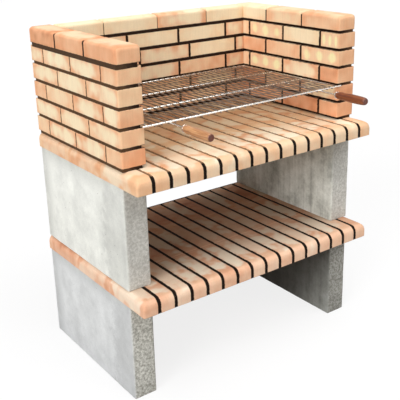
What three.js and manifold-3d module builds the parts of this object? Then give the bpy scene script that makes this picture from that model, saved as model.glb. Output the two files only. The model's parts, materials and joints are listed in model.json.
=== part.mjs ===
// Outdoor masonry barbecue.
// Two shelves of brick rows stand on four concrete slabs. Three brick walls of six courses close the
// hearth on the upper shelf, and a woven wire grill slides in the bed joints of the side walls.
// Millimetres, +Z up, +X to the right and +Y to the back, seen by a cook who faces the hearth.
// The walls and shelves are drawn from the front edge of the shelves at y = 0, and the whole group is
// then moved so that its origin lies on the ground under the middle of its box.
import * as THREE from "three";
import { mergeVertices } from "three/addons/utils/BufferGeometryUtils.js";
import Module from "manifold-3d";

const wasm = await Module();
wasm.setup();

// Clearance between pieces that rest on each other or stand side by side
const seat_gap = 0.3;
// Length by which a cutter or a core runs past the face that it works on
const overrun = 4;

// Shelves: rows of bricks laid front to back, with mortar between the rows
const row_count = 16;
const row_width = 51;
const row_joint = 9;
const row_brick_count = 3;
const shelf_brick_length = 212;
const shelf_thickness = 51;
const shelf_back_strip = 9;
const nose_radius = 24;
const row_arris = 2.5;
const row_joint_recess = 2;
const butt_notch_width = 1.6;
const butt_notch_depth = 1.4;

// Concrete slabs that carry the shelves
const leg_height = 333;
const leg_thickness = 81;
const leg_inset = 5;
const leg_set_back = 91;
const leg_arris_radius = 6;
const leg_end_chamfer = 4;

// Walls: courses of bricks, each on its own bed of mortar
const course_count = 6;
const brick_height = 51;
const bed_joint = 9;
const brick_arris = 2;
const cap_radius = 14;
const side_wall_thickness = 81;
const side_wall_inset = 3;
const side_wall_set_back = 82;
const side_brick_count = 3;
const side_end_radius = 7;
const cap_end_radius = 16;
const cap_joint_drop = 10;
const back_wall_thickness = 54;
const back_brick_length = 209.6;
const back_corner_gap = 1.5;
// First brick of each back course, bottom course first, as a share of a whole brick
const back_first_brick_shares = [0.15, 0.38, 0.15, 0.38, 0.15, 0.77];

// Joints of the walls: an upright joint is wider on the hearth side, and its mortar lies deeper there.
// The beds stop short of that side, and leave the grooves that carry the grill.
const upright_joint_inner = 9;
const upright_joint_outer = 5;
const upright_recess_inner = 8;
const upright_recess_outer = 2;
const groove_depth = 12;
const bed_recess_front = 3;
const bed_recess_left = 3;
const bed_recess_right = 12;
const bed_recess_back = 12;

// Grill: cross rods whose ends run in the grooves, and wires woven over and under them
const grill_course = 2;
const cross_rod_count = 4;
const cross_rod_diameter = 6;
const cross_rod_reach = 10;
const wire_diameter = 2.8;
const wire_pitch = 12;
const wire_end_length = 4;
const side_bar_diameter = 5;
const side_bar_end_length = 5;
const side_bar_gap = 5;
const grill_proud = 5;
const grill_rear_gap = 9;
const weld_depth = 0.5;
const weave_gap = 0.2;

// Pulls: a rod welded under the first two cross rods, a steel ferrule and a turned wooden handle
const pull_inset = 78;
const pull_rod_diameter = 6;
const pull_reach = 71;
const ferrule_length = 5;
const ferrule_diameter = 23;
const handle_length = 124;
const handle_neck_diameter = 22;
const handle_diameter = 28;
const handle_tip_radius = 5;
const handle_bore_depth = 60;
const pull_fit_gap = 0.3;
// Places along the handle, from its neck to its tip, as shares of its length
const handle_place_shares = [0.12, 0.3, 0.6];
// Swelling of the handle from neck to full diameter at those places, as shares
const handle_swell_shares = [0.35, 0.75, 0.95];

// Facets of round pieces and arcs
const rod_sides = 8;
const wire_sides = 4;
const turned_sides = 12;
const arc_steps = 1;
const nose_steps = 2;
const cap_steps = 2;
const tip_steps = 3;

// Levels and lines that the pieces share
const shelf_width = row_count * row_width + (row_count - 1) * row_joint;
const row_length = row_brick_count * shelf_brick_length;
const shelf_depth = row_length + shelf_back_strip;
const lower_shelf_level = leg_height + seat_gap;
const upper_leg_level = lower_shelf_level + shelf_thickness + seat_gap;
const upper_shelf_level = upper_leg_level + leg_height + seat_gap;
const hearth_level = upper_shelf_level + shelf_thickness;
const course_pitch = brick_height + bed_joint;
const wall_outer_x = shelf_width / 2 - side_wall_inset;
const wall_inner_x = wall_outer_x - side_wall_thickness;
const wall_front_y = side_wall_set_back;
const back_inner_y = shelf_depth - back_wall_thickness;
const side_wall_length = shelf_depth - wall_front_y;
const back_wall_length = 2 * (wall_inner_x - back_corner_gap);
const grill_rest_level = hearth_level + grill_course * course_pitch + seat_gap;
const front_rod_y = wall_front_y - grill_proud;
const rear_rod_y = back_inner_y - grill_rear_gap;
const ferrule_y = front_rod_y - pull_reach;
const handle_neck_y = ferrule_y - ferrule_length;
const handle_tip_y = handle_neck_y - seat_gap - handle_length;
const side_bar_x = wall_inner_x - side_bar_gap - side_bar_diameter / 2;
// Wires stand at whole pitches from the middle, half a pitch or more from the side bars, and the pull
// rods run halfway between two wires
const wires_each_side = Math.floor(
  (side_bar_x - (side_bar_diameter + wire_diameter) / 2) / wire_pitch - 1 / 2,
);
const pull_x = (Math.round((side_bar_x - pull_inset) / wire_pitch - 1 / 2) + 1 / 2) * wire_pitch;
const pull_level =
  grill_rest_level + cross_rod_diameter / 2 -
  (cross_rod_diameter + pull_rod_diameter) / 2 + weld_depth;

const brick_material = new THREE.MeshStandardMaterial({
  color: 0xf0b98a,
  roughness: 0.85,
  metalness: 0,
});
const mortar_material = new THREE.MeshStandardMaterial({
  color: 0x2a2019,
  roughness: 0.95,
  metalness: 0,
});
const concrete_material = new THREE.MeshStandardMaterial({
  color: 0xb4b2ac,
  roughness: 0.9,
  metalness: 0,
});
const chrome_material = new THREE.MeshStandardMaterial({
  color: 0xc9cacb,
  roughness: 0.25,
  metalness: 1,
});
const wood_material = new THREE.MeshStandardMaterial({
  color: 0xa9653a,
  roughness: 0.55,
  metalness: 0,
});

const barbecue = new THREE.Group();

function addMesh(name, geometry, material) {
  const mesh = new THREE.Mesh(geometry, material);
  mesh.name = name;
  barbecue.add(mesh);
  return mesh;
}

// The solid that a closed geometry bounds
function solidOf(geometry) {
  const bare = geometry.clone();
  bare.deleteAttribute("normal");
  bare.deleteAttribute("uv");
  const merged = mergeVertices(bare);
  return new wasm.Manifold(
    new wasm.Mesh({
      numProp: 3,
      vertProperties: merged.attributes.position.array,
      triVerts: new Uint32Array(merged.index.array),
    }),
  );
}

// The geometry of a solid, for a mesh
function geometryOf(solid) {
  const mesh = solid.getMesh();
  const geometry = new THREE.BufferGeometry();
  geometry.setAttribute("position", new THREE.BufferAttribute(mesh.vertProperties, 3));
  geometry.setIndex(new THREE.BufferAttribute(mesh.triVerts, 1));
  const faceted = geometry.toNonIndexed();
  faceted.computeVertexNormals();
  return faceted;
}

function joined(solids) {
  return solids.reduce((whole, solid) => whole.add(solid));
}

// A block between two opposite corners
function blockBetween(low, high) {
  const size = high.clone().sub(low);
  const middle = low.clone().add(high).multiplyScalar(1 / 2);
  return new THREE.BoxGeometry(size.x, size.y, size.z).translate(middle.x, middle.y, middle.z);
}

// A flat outline through the given corners. One with a radius is a right angle, and gets an arc.
function roundedOutline(corners) {
  const shape = new THREE.Shape();
  corners.forEach(({ x, y, radius = 0 }, i) => {
    const before = corners.at(i - 1);
    const after = corners[(i + 1) % corners.length];
    const back = new THREE.Vector2(before.x - x, before.y - y).setLength(radius);
    const onward = new THREE.Vector2(after.x - x, after.y - y).setLength(radius);
    const start = new THREE.Vector2(x, y).add(back);
    const centre = start.clone().add(onward);
    const clockwise = back.cross(onward) > 0;
    if (i === 0) {
      shape.moveTo(start.x, start.y);
    } else {
      shape.lineTo(start.x, start.y);
    }
    if (radius > 0) {
      const start_angle = onward.negate().angle();
      const end_angle = back.negate().angle();
      shape.absarc(centre.x, centre.y, radius, start_angle, end_angle, clockwise);
    }
  });
  shape.closePath();
  return shape;
}

// A prism on a flat outline, standing up from z = 0, with chamfered ends
function prism(shape, height, chamfer = 0, steps = arc_steps) {
  const geometry = new THREE.ExtrudeGeometry(shape, {
    depth: height - 2 * chamfer,
    curveSegments: steps,
    bevelEnabled: chamfer > 0,
    bevelSegments: 1,
    bevelSize: chamfer,
    bevelThickness: chamfer,
    bevelOffset: -chamfer,
  });
  return geometry.translate(0, 0, chamfer);
}

// A profile drawn in y and z, extruded along x from x = 0
function extrudedAlongX(shape, length, steps) {
  const turn = new THREE.Matrix4().makeBasis(
    new THREE.Vector3(0, 1, 0),
    new THREE.Vector3(0, 0, 1),
    new THREE.Vector3(1, 0, 0),
  );
  return prism(shape, length, 0, steps).applyMatrix4(turn);
}

// A profile drawn in x and z, extruded along y from y = 0
function extrudedAlongY(shape, length, steps) {
  return prism(shape, length, 0, steps).rotateX(Math.PI / 2).translate(0, length, 0);
}

// A round bar along x or y between two ends
function roundBar(start, end, diameter) {
  const run = end.clone().sub(start);
  const middle = start.clone().add(end).multiplyScalar(1 / 2);
  const turn = new THREE.Quaternion().setFromUnitVectors(
    new THREE.Vector3(0, 1, 0),
    run.clone().normalize(),
  );
  return new THREE.CylinderGeometry(diameter / 2, diameter / 2, run.length(), rod_sides)
    .applyQuaternion(turn)
    .translate(middle.x, middle.y, middle.z);
}

// Concrete slabs

function addLeg(name, side, level) {
  const outer = shelf_width / 2 - leg_inset;
  const inner = outer - leg_thickness;
  const outline = roundedOutline([
    { x: inner, y: leg_set_back, radius: leg_arris_radius },
    { x: outer, y: leg_set_back, radius: leg_arris_radius },
    { x: outer, y: shelf_depth, radius: leg_arris_radius },
    { x: inner, y: shelf_depth, radius: leg_arris_radius },
  ]);
  const leg = addMesh(name, prism(outline, leg_height, leg_end_chamfer), concrete_material);
  leg.position.set(side < 0 ? -(outer + inner) : 0, 0, level);
}

// Shelves

// Side profile of a row: round nose at the front, and a fine notch where one brick meets the next
function rowSideProfile(length) {
  const notches = [];
  for (let i = 1; i < row_brick_count; i += 1) {
    const butt = i * shelf_brick_length;
    notches.push({ x: butt - butt_notch_width / 2, y: shelf_thickness });
    notches.push({ x: butt, y: shelf_thickness - butt_notch_depth });
    notches.push({ x: butt + butt_notch_width / 2, y: shelf_thickness });
  }
  return roundedOutline([
    { x: 0, y: 0 },
    { x: 0, y: shelf_thickness, radius: nose_radius },
    ...notches,
    { x: length, y: shelf_thickness },
    { x: length, y: 0 },
  ]);
}

// Cross-section of a row: a small chamfer on each top edge, or on a free side the round of the nose
function rowCrossSection(is_left_free, is_right_free) {
  const left_top = is_left_free
    ? [{ x: 0, y: shelf_thickness, radius: nose_radius }]
    : [
        { x: 0, y: shelf_thickness - row_arris },
        { x: row_arris, y: shelf_thickness },
      ];
  const right_top = is_right_free
    ? [{ x: row_width, y: shelf_thickness, radius: nose_radius }]
    : [
        { x: row_width - row_arris, y: shelf_thickness },
        { x: row_width, y: shelf_thickness - row_arris },
      ];
  return roundedOutline([{ x: 0, y: 0 }, ...left_top, ...right_top, { x: row_width, y: 0 }]);
}

// One row. The two outermost rows run on past the mortar strip to the back edge of the shelf.
function rowGeometry(index) {
  const is_left_free = index === 0;
  const is_right_free = index === row_count - 1;
  const length = is_left_free || is_right_free ? shelf_depth : row_length;
  const section = rowCrossSection(is_left_free, is_right_free);
  const bar = solidOf(extrudedAlongY(section, length, nose_steps));
  const nosed = solidOf(extrudedAlongX(rowSideProfile(length), row_width, nose_steps));
  return geometryOf(bar.intersect(nosed));
}

// Mortar of a shelf: one rib in each joint between rows, joined by a strip along the back
function shelfMortarGeometry() {
  const depth = row_length + seat_gap + overrun;
  const crest = shelf_thickness - row_joint_recess;
  const rib_profile = roundedOutline([
    { x: row_joint_recess, y: 0 },
    { x: row_joint_recess, y: crest, radius: nose_radius - row_joint_recess },
    { x: depth, y: crest },
    { x: depth, y: 0 },
  ]);
  const strip_x = shelf_width / 2 - row_width - seat_gap;
  const pieces = [
    blockBetween(
      new THREE.Vector3(-strip_x, row_length + seat_gap, 0),
      new THREE.Vector3(strip_x, shelf_depth, crest),
    ),
  ];
  for (let i = 1; i < row_count; i += 1) {
    const joint_x = i * (row_width + row_joint) - row_joint - shelf_width / 2;
    const rib = extrudedAlongX(rib_profile, row_joint - 2 * seat_gap, arc_steps);
    pieces.push(rib.translate(joint_x + seat_gap, 0, 0));
  }
  return geometryOf(joined(pieces.map(solidOf)));
}

function addShelf(prefix, level) {
  for (let i = 0; i < row_count; i += 1) {
    const number = String(i + 1).padStart(2, "0");
    const row = addMesh(`${prefix}_shelf_row_${number}`, rowGeometry(i), brick_material);
    row.position.set(i * (row_width + row_joint) - shelf_width / 2, 0, level);
  }
  const mortar = addMesh(`${prefix}_shelf_mortar`, shelfMortarGeometry(), mortar_material);
  mortar.position.z = level;
}

// Walls. In a wall's own frame x runs along it, y from the hearth side to the weather side.

// The bricks of a course as stretches along the wall, from its start to its end
function stretches(first_length, whole_length, wall_length) {
  const found = [];
  let start = 0;
  let end = first_length;
  while (end < wall_length - upright_joint_inner) {
    found.push({ start, end });
    start = end + upright_joint_inner;
    end = start + whole_length;
  }
  found.push({ start, end: wall_length });
  return found;
}

// One brick. It flares towards the weather side, where the upright joints are narrower, and the
// corners at a free end of the wall are round. A brick of the cap course has round top edges.
function brickSolid({ start, end }, wall, is_cap) {
  const flare = (upright_joint_inner - upright_joint_outer) / 2;
  const end_radius = is_cap ? cap_end_radius : side_end_radius;
  const start_radius = start === 0 && wall.free_start ? end_radius : 0;
  const stop_radius = end === wall.length && wall.free_end ? end_radius : 0;
  const outline = roundedOutline([
    { x: start, y: 0, radius: start_radius },
    { x: end, y: 0, radius: stop_radius },
    { x: end === wall.length ? end : end + flare, y: wall.thickness, radius: stop_radius },
    { x: start === 0 ? start : start - flare, y: wall.thickness, radius: start_radius },
  ]);
  if (!is_cap) {
    return solidOf(prism(outline, brick_height, brick_arris));
  }
  const pillow = new THREE.ExtrudeGeometry(outline, {
    depth: brick_height - cap_radius,
    curveSegments: arc_steps,
    bevelSegments: cap_steps,
    bevelSize: cap_radius,
    bevelThickness: cap_radius,
    bevelOffset: -cap_radius,
  });
  const room = blockBetween(
    new THREE.Vector3(-overrun, -overrun, 0),
    new THREE.Vector3(wall.length + overrun, wall.thickness + overrun, brick_height + overrun),
  );
  return solidOf(pillow).intersect(solidOf(room));
}

// A course: its bricks, the mortar in its upright joints, and the bed of mortar that it lies on
function courseGeometry(bricks, wall, is_cap) {
  const filling_top = brick_height - (is_cap ? cap_joint_drop : brick_arris);
  const fillings = bricks.slice(1).map(({ start }) =>
    blockBetween(
      new THREE.Vector3(start - upright_joint_inner - overrun, upright_recess_inner, 0),
      new THREE.Vector3(start + overrun, wall.thickness - upright_recess_outer, filling_top),
    ),
  );
  const bed = blockBetween(
    new THREE.Vector3(wall.bed_start_recess, groove_depth, seat_gap - bed_joint),
    new THREE.Vector3(
      wall.length - wall.bed_end_recess,
      wall.thickness - wall.bed_outer_recess,
      overrun,
    ),
  );
  return geometryOf(
    joined([
      ...bricks.map((brick) => brickSolid(brick, wall, is_cap)),
      ...[...fillings, bed].map(solidOf),
    ]),
  );
}

function addWall(name, wall, bricksOf) {
  const group = new THREE.Group();
  group.position.set(wall.x, wall.y, hearth_level);
  group.rotation.z = wall.turn;
  for (let i = 0; i < course_count; i += 1) {
    const is_cap = i === course_count - 1;
    const geometry = courseGeometry(bricksOf(i), wall, is_cap);
    const course = new THREE.Mesh(geometry, brick_material);
    course.name = `${name}_wall_course_${i + 1}`;
    course.position.z = bed_joint + i * course_pitch;
    group.add(course);
  }
  barbecue.add(group);
}

// Side walls: courses of whole bricks, and between them courses with a half brick at each end
function sideBricks(i) {
  const whole =
    (side_wall_length - (side_brick_count - 1) * upright_joint_inner) / side_brick_count;
  const half = (whole - upright_joint_inner) / 2;
  return stretches(i % 2 === 0 ? half : whole, whole, side_wall_length);
}

function backBricks(i) {
  return stretches(
    back_first_brick_shares[i % back_first_brick_shares.length] * back_brick_length,
    back_brick_length,
    back_wall_length,
  );
}

// Grill

// A wire's way through its stations, which its steps take one after the other
class StationPath extends THREE.Curve {
  constructor(stations) {
    super();
    this.stations = stations;
  }

  getUtoTmapping(share) {
    return share;
  }

  getPoint(share) {
    const place = Math.min(Math.max(share, 0), 1) * (this.stations.length - 1);
    const index = Math.min(Math.floor(place), this.stations.length - 2);
    return this.stations[index].clone().lerp(this.stations[index + 1], place - index);
  }
}

function wireGeometry(stations) {
  const section = new THREE.Shape(
    Array.from({ length: wire_sides }, (_, i) =>
      new THREE.Vector2(wire_diameter / 2, 0).rotateAround(
        new THREE.Vector2(),
        (i / wire_sides) * 2 * Math.PI,
      ),
    ),
  );
  return new THREE.ExtrudeGeometry(section, {
    extrudePath: new StationPath(stations),
    steps: stations.length - 1,
  });
}

// A woven wire: over one cross rod and under the next. It is welded to the first and last rods,
// goes clear of the others, and lies flat for the width of each rod.
function wireStations(x, is_over_first, rod_ys, rod_z) {
  const reach = (cross_rod_diameter + wire_diameter) / 2;
  const last = rod_ys.length - 1;
  return rod_ys.flatMap((y, i) => {
    const is_end = i === 0 || i === last;
    const lift = reach + (is_end ? -weld_depth : weave_gap);
    const z = rod_z + ((i % 2 === 0) === is_over_first ? lift : -lift);
    const before = i === 0 ? wire_end_length : cross_rod_diameter / 2;
    const after = i === last ? wire_end_length : cross_rod_diameter / 2;
    return [new THREE.Vector3(x, y - before, z), new THREE.Vector3(x, y + after, z)];
  });
}

// A turned piece whose profile runs outwards along y, laid with its axis towards the cook
function turnedPiece(profile) {
  return new THREE.LatheGeometry(profile, turned_sides).rotateX(Math.PI);
}

function ferruleGeometry() {
  const radius = ferrule_diameter / 2;
  const edge = ferrule_length / 4;
  return turnedPiece([
    new THREE.Vector2(0, 0),
    new THREE.Vector2(radius - edge, 0),
    new THREE.Vector2(radius, edge),
    new THREE.Vector2(radius, ferrule_length),
    new THREE.Vector2(0, ferrule_length),
  ]);
}

function grillGeometry() {
  const rod_z = grill_rest_level + cross_rod_diameter / 2;
  const rod_ys = Array.from({ length: cross_rod_count }, (_, i) =>
    THREE.MathUtils.lerp(front_rod_y, rear_rod_y, i / (cross_rod_count - 1)),
  );
  const pieces = rod_ys.map((y) =>
    roundBar(
      new THREE.Vector3(-wall_inner_x - cross_rod_reach, y, rod_z),
      new THREE.Vector3(wall_inner_x + cross_rod_reach, y, rod_z),
      cross_rod_diameter,
    ),
  );
  for (let i = -wires_each_side; i <= wires_each_side; i += 1) {
    pieces.push(wireGeometry(wireStations(i * wire_pitch, i % 2 === 0, rod_ys, rod_z)));
  }
  for (const side of [-1, 1]) {
    pieces.push(
      roundBar(
        new THREE.Vector3(side * side_bar_x, front_rod_y - side_bar_end_length, rod_z),
        new THREE.Vector3(side * side_bar_x, rear_rod_y + side_bar_end_length, rod_z),
        side_bar_diameter,
      ),
      roundBar(
        new THREE.Vector3(side * pull_x, handle_neck_y - handle_bore_depth, pull_level),
        new THREE.Vector3(side * pull_x, rod_ys[1] + cross_rod_diameter, pull_level),
        pull_rod_diameter,
      ),
      ferruleGeometry().translate(side * pull_x, ferrule_y, pull_level),
    );
  }
  return geometryOf(joined(pieces.map(solidOf)));
}

// Turned wooden handle: bored for the rod, slim at the ferrule, fuller towards its rounded tip
function handleGeometry() {
  const neck = handle_neck_diameter / 2;
  const full = handle_diameter / 2;
  const bore = pull_rod_diameter / 2 + pull_fit_gap;
  const bore_end = handle_bore_depth + overrun;
  const profile = [
    new THREE.Vector2(0, bore_end),
    new THREE.Vector2(bore, bore_end),
    new THREE.Vector2(bore, 0),
    new THREE.Vector2(neck, 0),
  ];
  handle_place_shares.forEach((share, i) => {
    const radius = THREE.MathUtils.lerp(neck, full, handle_swell_shares[i]);
    profile.push(new THREE.Vector2(radius, share * handle_length));
  });
  for (let i = 0; i <= tip_steps; i += 1) {
    const angle = ((i / tip_steps) * Math.PI) / 2;
    profile.push(
      new THREE.Vector2(
        full - handle_tip_radius * (1 - Math.cos(angle)),
        handle_length - handle_tip_radius * (1 - Math.sin(angle)),
      ),
    );
  }
  profile.push(new THREE.Vector2(0, handle_length));
  return turnedPiece(profile);
}

addLeg("lower_left_leg", -1, 0);
addLeg("lower_right_leg", 1, 0);
addShelf("lower", lower_shelf_level);
addLeg("upper_left_leg", -1, upper_leg_level);
addLeg("upper_right_leg", 1, upper_leg_level);
addShelf("upper", upper_shelf_level);

addWall(
  "left",
  {
    length: side_wall_length,
    thickness: side_wall_thickness,
    x: -wall_inner_x,
    y: wall_front_y,
    turn: Math.PI / 2,
    free_start: true,
    free_end: false,
    bed_start_recess: bed_recess_front,
    bed_end_recess: bed_recess_back,
    bed_outer_recess: bed_recess_left,
  },
  sideBricks,
);
addWall(
  "right",
  {
    length: side_wall_length,
    thickness: side_wall_thickness,
    x: wall_inner_x,
    y: shelf_depth,
    turn: -Math.PI / 2,
    free_start: false,
    free_end: true,
    bed_start_recess: bed_recess_back,
    bed_end_recess: bed_recess_front,
    bed_outer_recess: bed_recess_right,
  },
  sideBricks,
);
addWall(
  "back",
  {
    length: back_wall_length,
    thickness: back_wall_thickness,
    x: -back_wall_length / 2,
    y: back_inner_y,
    turn: 0,
    free_start: false,
    free_end: false,
    bed_start_recess: 0,
    bed_end_recess: 0,
    bed_outer_recess: bed_recess_back,
  },
  backBricks,
);

addMesh("cooking_grill", grillGeometry(), chrome_material);
for (const [name, side] of [["left_handle", -1], ["right_handle", 1]]) {
  const handle = addMesh(name, handleGeometry(), wood_material);
  handle.position.set(side * pull_x, handle_neck_y - seat_gap, pull_level);
}

// The middle of the box, from the handles' tips to the back of the shelves, comes over the origin
barbecue.position.y = -(handle_tip_y + shelf_depth) / 2;

export default barbecue;
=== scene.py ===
import json
import math
import random

import bmesh
import bpy
from mathutils import Matrix, Vector

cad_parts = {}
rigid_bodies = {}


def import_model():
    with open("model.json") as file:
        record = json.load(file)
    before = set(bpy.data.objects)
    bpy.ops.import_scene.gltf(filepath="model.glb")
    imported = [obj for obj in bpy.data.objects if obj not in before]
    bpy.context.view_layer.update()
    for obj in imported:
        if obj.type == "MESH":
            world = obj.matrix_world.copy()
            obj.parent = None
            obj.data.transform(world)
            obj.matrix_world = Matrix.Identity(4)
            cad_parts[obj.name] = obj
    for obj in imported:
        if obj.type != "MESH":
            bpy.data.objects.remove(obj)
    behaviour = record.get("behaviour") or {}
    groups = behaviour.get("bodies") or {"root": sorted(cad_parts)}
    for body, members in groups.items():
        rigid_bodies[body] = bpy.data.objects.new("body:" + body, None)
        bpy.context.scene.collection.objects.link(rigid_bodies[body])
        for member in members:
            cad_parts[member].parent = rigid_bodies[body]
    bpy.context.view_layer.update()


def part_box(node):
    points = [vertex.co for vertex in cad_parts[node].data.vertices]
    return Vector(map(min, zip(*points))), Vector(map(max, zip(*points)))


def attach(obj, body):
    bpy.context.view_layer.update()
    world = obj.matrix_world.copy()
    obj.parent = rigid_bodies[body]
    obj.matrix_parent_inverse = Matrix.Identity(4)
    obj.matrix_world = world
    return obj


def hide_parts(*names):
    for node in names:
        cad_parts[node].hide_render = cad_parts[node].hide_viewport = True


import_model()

MM = 0.001

# Gap between pieces that rest on one another
SEAT_GAP = 0.3 * MM

# Shelves: rows of bricks butted end to end, with mortar between the rows and along the back edge
ROW_COUNT = 16
ROW_WIDTH = 51 * MM
ROW_JOINT = 9 * MM
ROW_PITCH = ROW_WIDTH + ROW_JOINT
ROW_BRICK_LENGTH = 212 * MM
ROW_BRICK_COUNT = 3
ROW_JOINT_RECESS = 2 * MM
BUTT_GAP = 0.3 * MM
REAR_STRIP_DEPTH = 8.7 * MM
NOSE_RADIUS = 24 * MM
FREE_CORNER_RADIUS = 7 * MM
ROW_ARRIS = 2 * MM

# Walls: courses in running bond, whose upright joints narrow to the weather side
COURSE_COUNT = 6
BRICK_HEIGHT = 51 * MM
BED_JOINT = 9 * MM
COURSE_PITCH = BRICK_HEIGHT + BED_JOINT
SIDE_DEPTH = 81 * MM
SIDE_BRICK_COUNT = 3
BACK_DEPTH = 54 * MM
BACK_BRICK_LENGTH = 209.6 * MM
BACK_FIRST_BRICK_SHARES = [0.15, 0.38, 0.15, 0.38, 0.15, 0.77]
UPRIGHT_JOINT = 9 * MM
UPRIGHT_FLARE = 2 * MM
WALL_ARRIS = 1.4 * MM
FREE_END_RADIUS = 7 * MM
FREE_INNER_RADIUS = 2.5 * MM
# The cap course: its long edges, its edges at a joint, and the corners of its free end
CAP_RADIUS = 14 * MM
CAP_JOINT_RADIUS = 8 * MM
CAP_END_RADIUS = 14 * MM
CAP_INNER_END_RADIUS = 5 * MM
# How much longer the cap bricks of the right wall and of the back wall are at each joint, and how much
# the cap joints of the left wall narrow to the weather side
CAP_OVERRUN_RIGHT = 1 * MM
CAP_OVERRUN_BACK = 3 * MM
CAP_FLARE_LEFT = 1.4 * MM

# How deep the mortar lies behind the bricks: in the upright joints, in the beds of the side walls on the
# hearth side, where they carry the grill, and in the beds at the front of the right wall, on the outer
# sides of the left wall, on the hearth side of the back wall, where it is struck flush, and elsewhere
UPRIGHT_RECESS = 2 * MM
GROOVE_DEPTH = 12 * MM
BED_RECESS_FRONT = 3 * MM
BED_RECESS_LEFT = 1.5 * MM
BED_RECESS_BACK = -0.3 * MM
BED_RECESS_DEEP = 12 * MM
# How far the mortar in a cap joint stays below the top
CAP_JOINT_DROP = 10 * MM
# Depth to which mortar is bedded in the bricks beside it, and how far the beds of the back wall lap
# over the arrises
BEDDING = 0.4 * MM
BEDDING_BACK = 1.3 * MM
# How far down the course below the mortar under the left cap is smeared, and how far it stands proud
SMEARED_DROP = 4 * MM
SMEARED_PROUD = 0.4 * MM
# How far mortar is smeared over the arris of a brick, its drift and the softness of its edge
SMEAR_WIDTH = 1.5 * MM
SMEAR_DRIFT = 0.6 * MM
SMEAR_EDGE = 0.7 * MM
# How much less wide mortar is smeared over the ends of a brick, and over those of a cap brick
END_WIPED = 1 * MM
CAP_END_WIPED = 3 * MM
# How far mortar has bleached on the weather side, as a share: in the beds, in the upright joints, in the
# joints of the cap, and where it is smeared under the left cap
BLEACH_BED = 0.6
BLEACH_UPRIGHT = 0.75
BLEACH_CAP = 0.3
BLEACH_SMEARED = 0.52

# Arrises of the mortar: of ribs and beds, and of the fills between bricks and the strip behind them
JOINT_ARRIS = 0.6 * MM
FILL_ARRIS = 0.8 * MM
# How far off a joint counts as lying from a side of a brick that meets none, in metres
NO_JOINT = 1

# Slabs
SLAB_CORNER_RADIUS = 5 * MM
SLAB_ARRIS = 2 * MM

# Half the length of a brick form, and how much of each end keeps its shape when the form is drawn out:
# on a wall brick, and on a brick of a row
FORM_HALF_LENGTH = 60 * MM
WALL_END = 15.2 * MM
ROW_END = 27 * MM
# Faces across a wide rounded edge and across an arris, and the angle from which an edge is sharp
ROUND_SEGMENTS = 6
ARRIS_SEGMENTS = 2
SHARP_ANGLE = math.radians(35)
# About how far apart the cuts in the forms are, which let the faces be uneven and the edges chipped
WALL_CELL = 16 * MM
ROW_CELL = 13 * MM
SLAB_CELL = 13 * MM
JOINT_CELL = 14 * MM
UPRIGHT_CELL = 12 * MM

# How uneven the faces of the units are, the size of their lumps, how deep their edges are chipped, and
# the seed of these for each kind
SHELF_BRICK_WEAR = {"unevenness": 0.7 * MM, "lump": 45 * MM, "chipping": 1.1 * MM, "seed": 11}
SHELF_MORTAR_WEAR = {"unevenness": 1.2 * MM, "lump": 18 * MM, "chipping": 0.5 * MM, "seed": 5}
WALL_BRICK_WEAR = {"unevenness": 0.7 * MM, "lump": 45 * MM, "chipping": 0.9 * MM, "seed": 23}
WALL_MORTAR_WEAR = {"unevenness": 1.4 * MM, "lump": 18 * MM, "chipping": 0.5 * MM, "seed": 3}
SLAB_WEAR = {"unevenness": 0.9 * MM, "lump": 60 * MM, "chipping": 2 * MM, "seed": 2}

# Grill: it rests in the bed on the second course, with its first cross rod just before the side walls
# and its last one just before the back wall
GRILL_COURSE = 2
GRILL_PROUD = 5 * MM
GRILL_REAR_GAP = 9 * MM
CROSS_ROD_COUNT = 4
CROSS_ROD_RADIUS = 3 * MM
# A side bar lies beside the wall, and runs on past the first and the last cross rod
SIDE_BAR_RADIUS = 2.5 * MM
SIDE_BAR_GAP = 5 * MM
SIDE_BAR_END = 5 * MM
WIRE_RADIUS = 1.4 * MM
WIRE_PITCH = 12 * MM
WIRE_END = 4 * MM
WEAVE_HEIGHT = 4.4 * MM
# A pull rod reaches into its handle, and ends behind the second cross rod
PULL_ROD_RADIUS = 3 * MM
PULL_ROD_GRIP = 60 * MM
PULL_ROD_END = 6 * MM
FERRULE_RADIUS = 11.5 * MM
FERRULE_LENGTH = 5 * MM
FERRULE_BACK_ROUND = 1.4 * MM
FERRULE_FRONT_ROUND = 0.4 * MM
# A bead of weld: half its length, its radius, and its place beside the middle of the pull rod and above
WELD_HALF = 2.2 * MM
WELD_RADIUS = 1.5 * MM
WELD_ASIDE = 2.4 * MM
WELD_ABOVE = 2.8 * MM

# Handles: the bore, the mark that the lathe left in the tip, and how far in the dark end grain shows
BORE_RADIUS = 3.3 * MM
BORE_DEPTH = 64 * MM
TIP_MARK_RADIUS = 1.8 * MM
TIP_MARK_DEPTH = 1.2 * MM
TIP_GRAIN = 4 * MM
# Radius in millimetres at shares of the length from the neck: bead, groove, belly and tip
HANDLE_BELLY = 14.0
HANDLE_TURNING = [
    (0, 9.8), (0.03, 10.6), (0.08, 12.3), (0.14, 13.1), (0.2, 12.9), (0.235, 12.1), (0.26, 12.1),
    (0.31, 12.8), (0.42, 13.6), (0.56, HANDLE_BELLY), (0.72, 13.9), (0.86, 13.4), (0.94, 12.5), (0.98, 11.2),
    (1.0, 9.4),
]

# How finely round pieces are made: points around them, points along a wire, and steps along a bead of
# weld and between two points of a handle's turning
BAR_SIDES = 20
WIRE_SIDES = 8
WELD_SIDES = 12
TURNED_SIDES = 48
WIRE_STEPS = 73
WELD_STEPS = 8
TURNING_STEPS = 4

# Where the painted shade on the shelves' top faces runs, from the front edge to the back
PAINTED_SHADE_FRONT = -260 * MM
PAINTED_SHADE_BACK = 385 * MM


# Small helpers


def linear(hex_colour):
    """A colour written as an sRGB hex value, as the linear colour that Blender's sockets take."""
    shades = [int(hex_colour[i : i + 2], 16) / 255 for i in (1, 3, 5)]
    return [s / 12.92 if s <= 0.04045 else ((s + 0.055) / 1.055) ** 2.4 for s in shades] + [1]


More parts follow.
